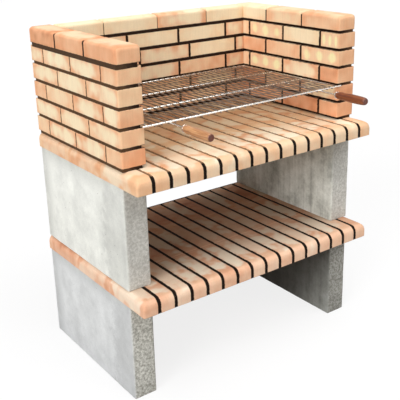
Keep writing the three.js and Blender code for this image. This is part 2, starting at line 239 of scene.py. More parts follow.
def add_node(tree, kind, settings=None, inputs=None, stops=None):
    """A node with its settings. An input is a plain value, or the socket that it is linked from."""
    made = tree.nodes.new(kind)
    for name, value in (settings or {}).items():
        setattr(made, name, value)
    for name, value in (inputs or {}).items():
        if isinstance(value, bpy.types.NodeSocket):
            tree.links.new(value, made.inputs[name])
        else:
            made.inputs[name].default_value = value
    if stops:
        band = made.color_ramp.elements
        while len(band) < len(stops):
            band.new(1)
        for element, (place, colour) in zip(band, stops):
            element.position = place
            element.color = linear(colour)
    return made


def new_piece(name, mesh):
    """An object at the origin that carries the mesh."""
    piece = bpy.data.objects.new(name, mesh)
    bpy.context.scene.collection.objects.link(piece)
    return piece


def as_plain_mesh(carrier):
    """Puts the evaluated mesh of an object in place of its modifiers."""
    depsgraph = bpy.context.evaluated_depsgraph_get()
    mesh = bpy.data.meshes.new_from_object(carrier.evaluated_get(depsgraph))
    carrier.modifiers.clear()
    carrier.data = mesh
    carrier.data.name = carrier.name
    return carrier


# Materials


def new_material(name):
    """An empty node material: its tree, its surface shader, and Object coordinates."""
    material = bpy.data.materials.new(name)
    material.use_nodes = True
    tree = material.node_tree
    shader = tree.nodes["Principled BSDF"]
    place = add_node(tree, "ShaderNodeTexCoord").outputs["Object"]
    return material, tree, shader, place


def mortar_colour(tree, depth, bleach):
    """Colour of the mortar: black-brown in the shelves and towards the fire, and bleached towards the
    weather side of the walls."""
    outward = add_node(
        tree, "ShaderNodeMapRange", {"interpolation_type": "SMOOTHSTEP"},
        {0: depth, 1: 0.1, 2: 0.75, 3: 0.12, 4: 1.0},
    ).outputs[0]
    bleached = add_node(
        tree, "ShaderNodeMath", {"operation": "MULTIPLY"}, {0: outward, 1: bleach}).outputs[0]
    return add_node(
        tree, "ShaderNodeValToRGB", inputs={0: bleached},
        stops=[(0.0, "#1d130d"), (0.07, "#2c1e15"), (0.5, "#4c392a"), (1.0, "#83603f")],
    ).outputs[0]


def flashed_brick(name, cream, top_cream, skins, end_from, painted_shade, cloud_size, cloudiness):
    """Fired clay brick, pressed and flashed in the kiln: a matt peach skin with a cream middle where the
    bricks shielded one another, a fine sandy grain, and edges stained dark by the mortar beside them. On
    the faces inside the joints, most of all the undersides, that dark stain is also painted shade.

    cream is the colour of the middle, and top_cream the share of it that top faces have in any case. skins
    run from the palest firing to the hardest. end_from is the share of the half length past which a brick
    has the firing of its end. painted_shade is shade painted on the top faces, as a ramp of colours from the
    front of the bay to the back."""
    material, tree, shader, place = new_material(name)
    said = {
        key: add_node(tree, "ShaderNodeAttribute", {"attribute_name": key}).outputs
        for key in ("place", "firing", "header", "joint_distance", "bleach", "smear", "unit_seed")
    }
    at = add_node(tree, "ShaderNodeSeparateXYZ", inputs={0: said["place"]["Vector"]}).outputs
    burn = add_node(tree, "ShaderNodeSeparateXYZ", inputs={0: said["firing"]["Vector"]}).outputs

    # Clouds of the kiln's flame, different on each brick
    cloud = add_node(
        tree, "ShaderNodeTexNoise", {"noise_dimensions": "4D"},
        {"Vector": place, "W": said["unit_seed"]["Fac"], "Scale": 1 / cloud_size, "Detail": 1.5,
         "Roughness": 0.45},
    ).outputs[0]
    drift = add_node(
        tree, "ShaderNodeMapRange",
        inputs={0: cloud, 1: 0.3, 2: 0.7, 3: -cloudiness, 4: cloudiness}).outputs[0]
    # How far a point lies from the middle of its face: along the brick, and up or across it
    along = add_node(tree, "ShaderNodeMath", {"operation": "ABSOLUTE"}, {0: at[0]}).outputs[0]
    along_power = add_node(tree, "ShaderNodeMath", {"operation": "POWER"}, {0: along, 1: 2.6}).outputs[0]
    across = add_node(tree, "ShaderNodeMapRange", inputs={0: at[1], 3: -1.0, 4: 1.0}).outputs[0]
    upward = add_node(tree, "ShaderNodeMapRange", inputs={0: at[2], 3: -1.0, 4: 1.0}).outputs[0]
    rim = add_node(tree, "ShaderNodeMath", {"operation": "MULTIPLY"}, {0: across, 1: upward}).outputs[0]
    rim_power = add_node(tree, "ShaderNodeMath", {"operation": "MULTIPLY"}, {0: rim, 1: rim}).outputs[0]
    ends = add_node(
        tree, "ShaderNodeMath", {"operation": "MULTIPLY_ADD"},
        {0: rim_power, 1: 0.55, 2: along_power}).outputs[0]
    clouded = add_node(tree, "ShaderNodeMath", {"operation": "ADD"}, {0: ends, 1: drift}).outputs[0]
    middle = add_node(
        tree, "ShaderNodeMapRange", {"interpolation_type": "SMOOTHSTEP"},
        {0: clouded, 1: 1.1, 2: -0.05, 3: 0.0, 4: 1.0},
    ).outputs[0]
    shielded = add_node(tree, "ShaderNodeMath", {"operation": "MULTIPLY"}, {0: middle, 1: burn[1]}).outputs[0]

    # Three soft round spots in a row where the edges of other bricks touched this one in the kiln
    turns = add_node(
        tree, "ShaderNodeMath", {"operation": "MULTIPLY_ADD"},
        {0: at[0], 1: 3 * math.pi, 2: math.pi}).outputs[0]
    wave = add_node(tree, "ShaderNodeMath", {"operation": "COSINE"}, {0: turns}).outputs[0]
    from_row = add_node(
        tree, "ShaderNodeMath", {"operation": "MULTIPLY_ADD"}, {0: rim_power, 1: 2.2, 2: wave}).outputs[0]
    spots = add_node(
        tree, "ShaderNodeMath", {"operation": "MULTIPLY_ADD"}, {0: drift, 1: 1.2, 2: from_row}).outputs[0]
    spot = add_node(
        tree, "ShaderNodeMapRange", {"interpolation_type": "SMOOTHSTEP"},
        {0: spots, 1: 0.75, 2: -1.0, 3: 0.0, 4: 1.0},
    ).outputs[0]
    kissed = add_node(tree, "ShaderNodeMath", {"operation": "MULTIPLY"}, {0: spot, 1: burn[2]}).outputs[0]

    # The ends have a firing of their own, clouded where they run into the faces
    clouded_end = add_node(
        tree, "ShaderNodeMath", {"operation": "MULTIPLY_ADD"},
        {0: drift, 1: 0.8 * (1 - end_from), 2: along}).outputs[0]
    is_header = add_node(
        tree, "ShaderNodeMapRange", {"interpolation_type": "SMOOTHSTEP"},
        {0: clouded_end, 1: end_from, 2: (end_from + 1) / 2, 3: 0.0, 4: 1.0},
    ).outputs[0]
    is_face = add_node(tree, "ShaderNodeMath", {"operation": "SUBTRACT"}, {0: 1.0, 1: is_header}).outputs[0]
    warmth = add_node(
        tree, "ShaderNodeMix", inputs={0: is_header, 2: burn[0], 3: said["header"]["Fac"]}).outputs[0]
    shade = add_node(
        tree, "ShaderNodeMapRange", inputs={0: cloud, 1: 0.2, 2: 0.8, 3: -0.18, 4: 0.18}).outputs[0]
    warm = add_node(tree, "ShaderNodeMath", {"operation": "ADD"}, {0: warmth, 1: shade}).outputs[0]
    skin = add_node(tree, "ShaderNodeValToRGB", inputs={0: warm}, stops=skins).outputs[0]
    # Top faces lay under the next layer of the kiln, and stayed cream but for their ends
    is_top = add_node(
        tree, "ShaderNodeMapRange", {"interpolation_type": "SMOOTHSTEP"},
        {0: at[2], 1: 0.9, 2: 1.0}).outputs[0]
    bare_top = add_node(
        tree, "ShaderNodeMath", {"operation": "MULTIPLY"}, {0: is_top, 1: top_cream}).outputs[0]
    top_middle = add_node(
        tree, "ShaderNodeMath", {"operation": "MULTIPLY"}, {0: bare_top, 1: middle}).outputs[0]
    paler = add_node(
        tree, "ShaderNodeMath", {"operation": "MAXIMUM"}, {0: shielded, 1: top_middle}).outputs[0]
    pale = add_node(tree, "ShaderNodeMath", {"operation": "MULTIPLY"}, {0: paler, 1: is_face}).outputs[0]
    touched = add_node(tree, "ShaderNodeMath", {"operation": "MULTIPLY"}, {0: kissed, 1: is_face}).outputs[0]
    flashed = add_node(
        tree, "ShaderNodeMix", {"data_type": "RGBA"}, {0: pale, 6: skin, 7: linear(cream)}).outputs[2]
    spotted = add_node(
        tree, "ShaderNodeMix", {"data_type": "RGBA"},
        {0: touched, 6: flashed, 7: linear("#fdf0bd")}).outputs[2]

    # Sandy grain of about 1.5 mm, drawn at 4 mm so that it shows, and fine upright drag lines
    grain = add_node(
        tree, "ShaderNodeTexNoise",
        inputs={"Vector": place, "Scale": 1 / (4 * MM), "Detail": 4, "Roughness": 0.7},
    ).outputs[0]
    stretched = add_node(tree, "ShaderNodeMapping", inputs={0: place, 3: (1.0, 1.0, 0.08)}).outputs[0]
    drag = add_node(
        tree, "ShaderNodeTexNoise",
        inputs={"Vector": stretched, "Scale": 1 / (5 * MM), "Detail": 2}).outputs[0]
    texture = add_node(tree, "ShaderNodeMath", {"operation": "ADD"}, {0: grain, 1: drag}).outputs[0]
    tint = add_node(
        tree, "ShaderNodeMapRange", inputs={0: texture, 1: 0.6, 2: 1.4, 3: 0.93, 4: 1.05}).outputs[0]
    sandy = add_node(tree, "ShaderNodeVectorMath", {"operation": "SCALE"}, {0: spotted, 3: tint}).outputs[0]
    # Painted shade on the top faces of the bricks: a ramp from the front of the bay to the back, for the
    # shade that the shelf above, the walls and the grill cast there
    depth = add_node(tree, "ShaderNodeSeparateXYZ", inputs={0: place}).outputs[1]
    back = add_node(
        tree, "ShaderNodeMapRange", inputs={0: depth, 1: PAINTED_SHADE_FRONT, 2: PAINTED_SHADE_BACK, 3: 0.0, 4: 1.0}).outputs[0]
    shade_ramp = add_node(tree, "ShaderNodeValToRGB", inputs={0: back}, stops=painted_shade).outputs[0]
    shaded_tops = add_node(
        tree, "ShaderNodeMix", {"data_type": "RGBA", "blend_type": "MULTIPLY"},
        {0: is_top, 6: sandy, 7: shade_ramp}).outputs[2]

    # Mortar smeared over the arris, 1 to 2 mm in from each joint, and wiped off the top where smear is 0.
    # The faces inside a joint take the mortar's colour too, all over on a wall brick's underside: partly real
    # smear and partly painted shade in the joints and grooves.
    smear = add_node(
        tree, "ShaderNodeTexNoise",
        inputs={"Vector": place, "Scale": 1 / (9 * MM), "Detail": 2, "Roughness": 0.6},
    ).outputs[0]
    reach = add_node(
        tree, "ShaderNodeMapRange",
        inputs={0: smear, 1: 0.3, 2: 0.7, 3: -SMEAR_DRIFT, 4: SMEAR_DRIFT}).outputs[0]
    wiped = add_node(
        tree, "ShaderNodeMapRange", {"interpolation_type": "SMOOTHSTEP"},
        {0: at[2], 1: 0.9, 2: 1.0, 3: SMEAR_WIDTH, 4: 0.0},
    ).outputs[0]
    kept = add_node(
        tree, "ShaderNodeMapRange",
        inputs={0: said["smear"]["Fac"], 3: wiped, 4: SMEAR_WIDTH}).outputs[0]
    width = add_node(tree, "ShaderNodeMath", {"operation": "ADD"}, {0: kept, 1: reach}).outputs[0]
    inset = add_node(
        tree, "ShaderNodeMath", {"operation": "SUBTRACT"},
        {0: said["joint_distance"]["Fac"], 1: width}).outputs[0]
    clean = add_node(
        tree, "ShaderNodeMapRange", {"interpolation_type": "SMOOTHSTEP"},
        {0: inset, 1: -SMEAR_EDGE, 2: SMEAR_EDGE, 3: 0.0, 4: 1.0},
    ).outputs[0]
    mortar_stain_and_shade = mortar_colour(tree, at[1], said["bleach"]["Fac"])
    stained = add_node(
        tree, "ShaderNodeMix", {"data_type": "RGBA"}, {0: clean, 6: mortar_stain_and_shade, 7: shaded_tops}).outputs[2]
    tree.links.new(stained, shader.inputs["Base Color"])
    bump = add_node(
        tree, "ShaderNodeBump", inputs={"Strength": 0.5, "Distance": 0.6 * MM, "Height": texture})
    tree.links.new(bump.outputs[0], shader.inputs["Normal"])
    shader.inputs["Roughness"].default_value = 0.86
    shader.inputs["IOR"].default_value = 1.5
    shader.inputs["Specular IOR Level"].default_value = 0.3
    return material


def dark_pigmented_mortar():
    """Cement mortar with black-brown pigment, struck nearly flush: matt, sandy and nearly black in the
    shelves and towards the fire, and bleached to brown on the weather side."""
    material, tree, shader, place = new_material("pigmented_cement_mortar_struck")
    laid = add_node(tree, "ShaderNodeAttribute", {"attribute_name": "place"}).outputs["Vector"]
    bleach = add_node(tree, "ShaderNodeAttribute", {"attribute_name": "bleach"}).outputs["Fac"]
    at = add_node(tree, "ShaderNodeSeparateXYZ", inputs={0: laid}).outputs
    # Sand grains of 1 to 2 mm, drawn at 3 mm so that they show
    sand = add_node(
        tree, "ShaderNodeTexNoise",
        inputs={"Vector": place, "Scale": 1 / (3 * MM), "Detail": 4, "Roughness": 0.75},
    ).outputs[0]
    base = mortar_colour(tree, at[1], bleach)
    # Brick dust that the brush has rubbed over the margins of a shelf's joints. A unit of mortar has no
    # header, so this attribute says how dusty it is.
    from_middle = add_node(tree, "ShaderNodeMapRange", inputs={0: at[1], 3: -1.0, 4: 1.0}).outputs[0]
    aside = add_node(tree, "ShaderNodeMath", {"operation": "ABSOLUTE"}, {0: from_middle}).outputs[0]
    margin = add_node(
        tree, "ShaderNodeMapRange", {"interpolation_type": "SMOOTHSTEP"},
        {0: aside, 1: 0.15, 2: 0.65, 3: 0.25, 4: 1.0}).outputs[0]
    on_top = add_node(
        tree, "ShaderNodeMapRange", {"interpolation_type": "SMOOTHSTEP"},
        {0: at[2], 1: 0.93, 2: 1.0, 3: 0.0, 4: 1.0}).outputs[0]
    dusted = add_node(tree, "ShaderNodeAttribute", {"attribute_name": "header"}).outputs["Fac"]
    rubbed = add_node(tree, "ShaderNodeMath", {"operation": "MULTIPLY"}, {0: margin, 1: on_top}).outputs[0]
    dust = add_node(tree, "ShaderNodeMath", {"operation": "MULTIPLY"}, {0: rubbed, 1: dusted}).outputs[0]
    dusty = add_node(
        tree, "ShaderNodeMix", {"data_type": "RGBA"}, {0: dust, 6: base, 7: linear("#c79a72")}).outputs[2]
    speck = add_node(
        tree, "ShaderNodeMapRange", inputs={0: sand, 1: 0.3, 2: 0.7, 3: 0.7, 4: 1.3}).outputs[0]
    coloured = add_node(tree, "ShaderNodeVectorMath", {"operation": "SCALE"}, {0: dusty, 3: speck}).outputs[0]
    tree.links.new(coloured, shader.inputs["Base Color"])
    bump = add_node(tree, "ShaderNodeBump", inputs={"Strength": 0.8, "Distance": 1 * MM, "Height": sand})
    tree.links.new(bump.outputs[0], shader.inputs["Normal"])
    shader.inputs["Roughness"].default_value = 0.95
    shader.inputs["Specular IOR Level"].default_value = 0.15
    return material


def cast_concrete():
    """Grey concrete cast flat in a smooth mould: pale and even with faint upright bands on the faces that
    weather, duller low down, mottled on the faces to the bay, with painted shade on those of the lower bay,
    and speckled with sand on the end faces."""
    material, tree, shader, place = new_material("grey_concrete_mould_cast")
    face = add_node(tree, "ShaderNodeAttribute", {"attribute_name": "face"}).outputs["Vector"]
    # How squarely a point faces out to the weather, and in to the bay
    facing = add_node(tree, "ShaderNodeSeparateXYZ", inputs={0: face}).outputs
    level = add_node(tree, "ShaderNodeSeparateXYZ", inputs={0: place}).outputs[2]
    # Damp clouds of about 95 mm with finer ones in them
    cloud = add_node(
        tree, "ShaderNodeTexNoise",
        inputs={"Vector": place, "Scale": 1 / (95 * MM), "Detail": 8, "Roughness": 0.72},
    ).outputs[0]
    # Upright bands about 120 mm wide, where the mix ran down the mould
    stretched = add_node(tree, "ShaderNodeMapping", inputs={0: place, 3: (1.0, 1.0, 0.05)}).outputs[0]
    band = add_node(
        tree, "ShaderNodeTexNoise",
        inputs={"Vector": stretched, "Scale": 1 / (60 * MM), "Detail": 2, "Roughness": 0.5},
    ).outputs[0]
    # Upright streaks about 20 mm apart
    streak = add_node(
        tree, "ShaderNodeTexNoise",
        inputs={"Vector": stretched, "Scale": 1 / (20 * MM), "Detail": 2, "Roughness": 0.5},
    ).outputs[0]
    # Sand of 1 to 3 mm, drawn at 5 mm so that it shows
    sand = add_node(
        tree, "ShaderNodeTexNoise",
        inputs={"Vector": place, "Scale": 1 / (5 * MM), "Detail": 4, "Roughness": 0.8},
    ).outputs[0]
    # Air holes about 3 mm wide, painted darker for the shade in them
    pit = add_node(
        tree, "ShaderNodeTexVoronoi", inputs={"Vector": place, "Scale": 1 / (34 * MM)}).outputs["Distance"]
    hole = add_node(
        tree, "ShaderNodeMapRange", {"interpolation_type": "SMOOTHSTEP"},
        {0: pit, 1: 0.02, 2: 0.06, 3: 1.0, 4: 0.0},
    ).outputs[0]

    # The faces that weather, by their height above the ground
    height = add_node(
        tree, "ShaderNodeMapRange", inputs={0: level, 1: 0.0, 2: 720 * MM, 3: 0.0, 4: 1.0}).outputs[0]
    weathered = add_node(
        tree, "ShaderNodeValToRGB", inputs={0: height},
        stops=[(0.0, "#cbcccd"), (0.2, "#d1d2d2"), (0.46, "#d6d7d7"), (0.54, "#e4e4dd"), (1.0, "#e9e9e3")],
    ).outputs[0]
    banded = add_node(
        tree, "ShaderNodeMapRange", inputs={0: band, 1: 0.3, 2: 0.7, 3: 0.97, 4: 1.03}).outputs[0]
    mottled = add_node(
        tree, "ShaderNodeMapRange", inputs={0: cloud, 1: 0.36, 2: 0.64, 3: 0.88, 4: 1.09}).outputs[0]
    patchy = add_node(tree, "ShaderNodeMath", {"operation": "MULTIPLY"}, {0: banded, 1: mottled}).outputs[0]
    # A paler panel within margins that dried slowly, wider at the front than at the back and the top
    laid = add_node(tree, "ShaderNodeAttribute", {"attribute_name": "place"}).outputs["Vector"]
    share = add_node(tree, "ShaderNodeSeparateXYZ", inputs={0: laid}).outputs
    wander = add_node(
        tree, "ShaderNodeMapRange", inputs={0: cloud, 1: 0.3, 2: 0.7, 3: -0.05, 4: 0.05}).outputs[0]
    sides = [
        add_node(
            tree, "ShaderNodeMapRange", {"interpolation_type": "SMOOTHSTEP"},
            {0: add_node(tree, "ShaderNodeMath", {"operation": "ADD"}, {0: share[i], 1: wander}).outputs[0],
             1: edge, 2: inner, 3: 0.0, 4: 1.0},
        ).outputs[0]
        for i, edge, inner in ((1, 0.18, 0.25), (1, 0.97, 0.87), (2, 1.0, 0.82))
    ]
    across = add_node(
        tree, "ShaderNodeMath", {"operation": "MULTIPLY"}, {0: sides[0], 1: sides[1]}).outputs[0]
    panel = add_node(tree, "ShaderNodeMath", {"operation": "MULTIPLY"}, {0: across, 1: sides[2]}).outputs[0]
    dried = add_node(tree, "ShaderNodeMapRange", inputs={0: panel, 3: 0.89, 4: 1.1}).outputs[0]
    paned = add_node(tree, "ShaderNodeMath", {"operation": "MULTIPLY"}, {0: patchy, 1: dried}).outputs[0]
    pale = add_node(tree, "ShaderNodeVectorMath", {"operation": "SCALE"}, {0: weathered, 3: paned}).outputs[0]
    # The end faces, which show the coarse sand of 4 to 8 mm, and the faces to the bay
    gravel = add_node(
        tree, "ShaderNodeTexNoise",
        inputs={"Vector": place, "Scale": 1 / (9 * MM), "Detail": 3, "Roughness": 0.7},
    ).outputs[0]
    is_low = add_node(
        tree, "ShaderNodeMapRange", inputs={0: level, 1: 340 * MM, 2: 380 * MM, 3: 1.0, 4: 0.0}).outputs[0]
    rubbed = add_node(
        tree, "ShaderNodeValToRGB", inputs={0: gravel},
        stops=[(0.36, "#b8b5ad"), (0.5, "#cac8c1"), (0.64, "#dbd9d3")]).outputs[0]
    coarse = add_node(
        tree, "ShaderNodeValToRGB", inputs={0: gravel},
        stops=[(0.38, "#a19e94"), (0.5, "#c6c4bb"), (0.62, "#e3e1da")]).outputs[0]
    wet = add_node(
        tree, "ShaderNodeMapRange", inputs={0: level, 1: 0.0, 2: 200 * MM, 3: 0.84, 4: 1.02}).outputs[0]
    damp_foot = add_node(tree, "ShaderNodeVectorMath", {"operation": "SCALE"}, {0: coarse, 3: wet}).outputs[0]
    sanded = add_node(
        tree, "ShaderNodeMix", {"data_type": "RGBA"}, {0: is_low, 6: rubbed, 7: damp_foot}).outputs[2]
    end = add_node(tree, "ShaderNodeVectorMath", {"operation": "SCALE"}, {0: sanded, 3: mottled}).outputs[0]
    wash = add_node(tree, "ShaderNodeMath", {"operation": "MULTIPLY"}, {0: streak, 1: 0.25}).outputs[0]
    damp = add_node(
        tree, "ShaderNodeMath", {"operation": "MULTIPLY_ADD"}, {0: cloud, 1: 0.75, 2: wash}).outputs[0]
    stained = add_node(
        tree, "ShaderNodeValToRGB", inputs={0: damp},
        stops=[(0.38, "#a9aba4"), (0.5, "#d5d7cf"), (0.62, "#f3f5ef")]).outputs[0]
    # Painted shade on the faces of the lower slabs to the bay, darker towards its back and up towards the
    # shelf above
    inward = add_node(tree, "ShaderNodeSeparateXYZ", inputs={0: place}).outputs[1]
    rising = add_node(
        tree, "ShaderNodeMath", {"operation": "MULTIPLY_ADD"}, {0: level, 1: 0.7, 2: inward}).outputs[0]
    painted_shade = add_node(
        tree, "ShaderNodeMapRange", {"interpolation_type": "SMOOTHSTEP"},
        {0: rising, 1: -230 * MM, 2: 130 * MM, 3: 0.3, 4: 0.92}).outputs[0]
    painted_shade_low = add_node(tree, "ShaderNodeMath", {"operation": "MULTIPLY"}, {0: is_low, 1: painted_shade}).outputs[0]
    bay = add_node(
        tree, "ShaderNodeMix", {"data_type": "RGBA"},
        {0: painted_shade_low, 6: stained, 7: linear("#4a443d")}).outputs[2]
    outside = add_node(
        tree, "ShaderNodeMix", {"data_type": "RGBA"}, {0: facing[0], 6: end, 7: pale}).outputs[2]
    inside = add_node(
        tree, "ShaderNodeMix", {"data_type": "RGBA"}, {0: facing[1], 6: outside, 7: bay}).outputs[2]
    holes_shaded = add_node(
        tree, "ShaderNodeMix", {"data_type": "RGBA"}, {0: hole, 6: inside, 7: linear("#8d8a83")}).outputs[2]
    speck = add_node(
        tree, "ShaderNodeMapRange", inputs={0: sand, 1: 0.3, 2: 0.7, 3: 0.93, 4: 1.06}).outputs[0]
    # Each slab has dried to a tone of its own. A slab has no mortar to bleach, so this attribute says how
    # damp it is.
    damp_share = add_node(tree, "ShaderNodeAttribute", {"attribute_name": "bleach"}).outputs["Fac"]
    tone = add_node(tree, "ShaderNodeMapRange", inputs={0: damp_share, 3: 1.0, 4: 0.3}).outputs[0]
    toned = add_node(tree, "ShaderNodeMath", {"operation": "MULTIPLY"}, {0: speck, 1: tone}).outputs[0]
    coloured = add_node(tree, "ShaderNodeVectorMath", {"operation": "SCALE"}, {0: holes_shaded, 3: toned}).outputs[0]
    tree.links.new(coloured, shader.inputs["Base Color"])
    relief = add_node(
        tree, "ShaderNodeMath", {"operation": "MULTIPLY_ADD"}, {0: hole, 1: -1.2, 2: sand}).outputs[0]
    bump = add_node(tree, "ShaderNodeBump", inputs={"Strength": 0.4, "Distance": 0.6 * MM, "Height": relief})
    tree.links.new(bump.outputs[0], shader.inputs["Normal"])
    shader.inputs["Roughness"].default_value = 0.9
    shader.inputs["Specular IOR Level"].default_value = 0.25
    return material


def plated_steel(name, dullest, brightest, tints):
    """Steel rod or wire, chromium plated: a mirror, duller and browner where the fire has heated it.
    dullest and brightest are its roughness in its hazy and in its clear places."""
    material, tree, shader, place = new_material(name)
    haze = add_node(
        tree, "ShaderNodeTexNoise", inputs={"Vector": place, "Scale": 1 / (25 * MM), "Detail": 3}).outputs[0]
    dull = add_node(
        tree, "ShaderNodeMapRange", inputs={0: haze, 1: 0.35, 2: 0.65, 3: brightest, 4: dullest}).outputs[0]
    tint = add_node(tree, "ShaderNodeValToRGB", inputs={0: haze}, stops=tints).outputs[0]
    tree.links.new(dull, shader.inputs["Roughness"])
    tree.links.new(tint, shader.inputs["Base Color"])
    shader.inputs["Metallic"].default_value = 1
    return material


def varnished_beech():
    """Beech, turned and varnished: orange-brown with fine darker flecks and lines along the handle, a
    satin gloss, and a dark reddish end grain at the tip."""
    material, tree, shader, place = new_material("beech_turned_and_varnished")
    tip = add_node(tree, "ShaderNodeAttribute", {"attribute_name": "tip"}).outputs["Fac"]
    # Growth lines 3 mm apart that run along the handle
    stretched = add_node(
        tree, "ShaderNodeMapping", inputs={0: place, 3: (1.0, 0.07, 1.0)}).outputs[0]
    lines = add_node(
        tree, "ShaderNodeTexNoise",
        inputs={"Vector": stretched, "Scale": 1 / (6 * MM), "Detail": 5, "Roughness": 0.65,
                "Distortion": 0.3},
    ).outputs[0]
    wood = add_node(
        tree, "ShaderNodeValToRGB", inputs={0: lines},
        stops=[(0.3, "#8d5b3d"), (0.5, "#b88256"), (0.7, "#d7a778")]).outputs[0]
    # The two handles come from different boards: the one on the right is redder
    side = add_node(tree, "ShaderNodeSeparateXYZ", inputs={0: place}).outputs[0]
    is_right = add_node(
        tree, "ShaderNodeMapRange", inputs={0: side, 1: -100 * MM, 2: 100 * MM, 3: 0.0, 4: 1.0}).outputs[0]
    board = add_node(
        tree, "ShaderNodeMix", {"data_type": "RGBA", "blend_type": "MULTIPLY"},
        {0: is_right, 6: wood, 7: linear("#ad8267")}).outputs[2]
    dark = add_node(
        tree, "ShaderNodeMix", {"data_type": "RGBA"}, {0: tip, 6: board, 7: linear("#612b17")}).outputs[2]
    tree.links.new(dark, shader.inputs["Base Color"])
    bump = add_node(tree, "ShaderNodeBump", inputs={"Strength": 0.25, "Distance": 0.3 * MM, "Height": lines})
    tree.links.new(bump.outputs[0], shader.inputs["Normal"])
    shader.inputs["Roughness"].default_value = 0.5
    shader.inputs["Coat Weight"].default_value = 0.25
    shader.inputs["Coat Roughness"].default_value = 0.3
    shader.inputs["IOR"].default_value = 1.5
    return material


WALL_BRICK = flashed_brick(
    "facing_brick_pressed_and_flashed", cream="#fdeac6", top_cream=0.6,
    skins=[(0.0, "#fae2bb"), (0.3, "#f8d4aa"), (0.55, "#f4c096"), (0.8, "#eaa67b"), (1.0, "#c9855b")],
    end_from=0.955,
    painted_shade=[(0.0, "#ffffff"), (1.0, "#ffffff")],
    cloud_size=50 * MM, cloudiness=0.5,
)
HEARTH_BRICK = flashed_brick(
    "paving_brick_pressed_and_flashed", cream="#f8ead2", top_cream=0,
    skins=[(0.0, "#f6e2c4"), (0.3, "#f4d2ae"), (0.55, "#efbd93"), (0.8, "#e2a075"), (1.0, "#c08259")],
    end_from=0.7,
    # Painted shade, darker towards the back wall and under the grill
    painted_shade=[(0.05, "#fefaf7"), (0.24, "#ebe5dd"), (0.4, "#ddd3c4"), (0.7, "#c0b5a5"), (1.0, "#b5ab9d")],
    cloud_size=42 * MM, cloudiness=0.8,
)
LOWER_BRICK = flashed_brick(
    "paving_brick_pressed_and_flashed_and_dusty", cream="#f3e6d2", top_cream=0,
    skins=[(0.0, "#f4e2ca"), (0.3, "#f2d2b7"), (0.55, "#ecbf9f"), (0.8, "#dea17e"), (1.0, "#b97b5c")],
    end_from=0.72,
    # Painted shade, darkest in the middle of the bay under the upper shelf, and lighter at its open back
    painted_shade=[(0.05, "#ece9e5"), (0.24, "#c4bcb6"), (0.45, "#b7ada5"), (0.75, "#d2c8c0"), (1.0, "#ebe8e4")],
    cloud_size=40 * MM, cloudiness=0.85,
)
MORTAR = dark_pigmented_mortar()
CONCRETE = cast_concrete()
BRIGHT_RODS = plated_steel(
    "steel_rod_chromium_plated", dullest=0.28, brightest=0.16,
    tints=[(0.3, "#e2ded8"), (0.7, "#f6f3ee")],
)
# The wires are a darker copy of the rods' chrome: their tints paint the shade and the dark reflections that
# they have over the hearth, and they are also duller
SHADED_WIRES = plated_steel(
    "steel_wire_chromium_plated_and_heated", dullest=0.5, brightest=0.35,
    tints=[(0.3, "#857b74"), (0.7, "#aba19a")],
)
BEECH = varnished_beech()


# Forms: the moulds of the bricks, the mortar and the slabs


def block_form(collection, name, low, high, rounds, arris, cell, end_length=None):
    """One unit in its own frame, with x along it. rounds gives wide rounded edges as (edges, radius). An
    edge is written as its side on each axis, -1 for low and 1 for high, with 0 on the axis that it runs
    along. The other edges get the arris. The cuts are about a cell apart. When the unit is drawn out, its
    ends keep their shape over end_length, or else over a quarter of its length each."""
    low, high = Vector(low), Vector(high)
    mould = bmesh.new()
    bmesh.ops.create_cube(mould, size=1)
    for vertex in mould.verts:
        vertex.co = Vector(high[i] if vertex.co[i] > 0 else low[i] for i in range(3))
    mesh = bpy.data.meshes.new(name)
    widest = max((radius for _, radius in rounds), default=0)
    weight = mould.edges.layers.float.new("bevel_weight_edge")
    for edge in mould.edges:
        middle = (edge.verts[0].co + edge.verts[1].co) / 2
        run = edge.verts[1].co - edge.verts[0].co
        axis = max(range(3), key=lambda i: abs(run[i]))
        corner = [
            0 if i == axis else (1 if middle[i] > (low[i] + high[i]) / 2 else -1) for i in range(3)
        ]
        for wanted, radius in rounds:
            if corner in wanted:
                edge[weight] = radius / widest
    mould.to_mesh(mesh)
    mould.free()
    form = bpy.data.objects.new(name, mesh)
    collection.objects.link(form)
    form.hide_render = True
    if widest:
        bevel = form.modifiers.new("rounds", "BEVEL")
        bevel.limit_method = "WEIGHT"
        bevel.width = widest
        bevel.segments = ROUND_SEGMENTS
        as_plain_mesh(form)

    mould = bmesh.new()
    mould.from_mesh(form.data)
    sharp = [e for e in mould.edges if e.is_manifold and e.calc_face_angle() > SHARP_ANGLE]
    bmesh.ops.bevel(
        mould, geom=sharp, offset=arris, offset_type="OFFSET", segments=ARRIS_SEGMENTS, profile=0.5,
        affect="EDGES", clamp_overlap=True,
    )
    # Cuts at even distances, and one just inside each arris
    for i in range(3):
        run = high[i] - low[i]
        count = max(1, round(run / cell))
        places = [low[i] + run * k / count for k in range(1, count)]
        places += [low[i] + 1.8 * arris, high[i] - 1.8 * arris]
        normal = Vector(1 if k == i else 0 for k in range(3))
        for place in places:
            if low[i] + arris < place < high[i] - arris:
                bmesh.ops.bisect_plane(
                    mould, geom=mould.verts[:] + mould.edges[:] + mould.faces[:], dist=0.01 * MM,
                    plane_co=normal * place, plane_no=normal,
                )
    bmesh.ops.recalc_face_normals(mould, faces=mould.faces[:])
    mould.normal_update()
    half = high.x
    core = half - (end_length or half * 0.5)
    unit_place = mould.verts.layers.float_vector.new("unit_place")
    unit_size = mould.verts.layers.float_vector.new("unit_size")
    unit_core = mould.verts.layers.float.new("unit_core_length")
    worn = mould.verts.layers.float.new("worn")
    for vertex in mould.verts:
        shares = [(vertex.co[i] - low[i]) / (high[i] - low[i]) for i in range(3)]
        vertex[unit_place] = Vector((vertex.co.x, shares[1], shares[2]))
        vertex[unit_size] = Vector((half, high.y - low.y, high.z - low.z))
        vertex[unit_core] = core
        # 0 on a flat face and 1 on an arris, where the unit chips
        vertex[worn] = min(1, 3 * (1 - max(abs(c) for c in vertex.normal)))
    for face in mould.faces:
        face.smooth = True
    mould.to_mesh(form.data)
    mould.free()
    return form


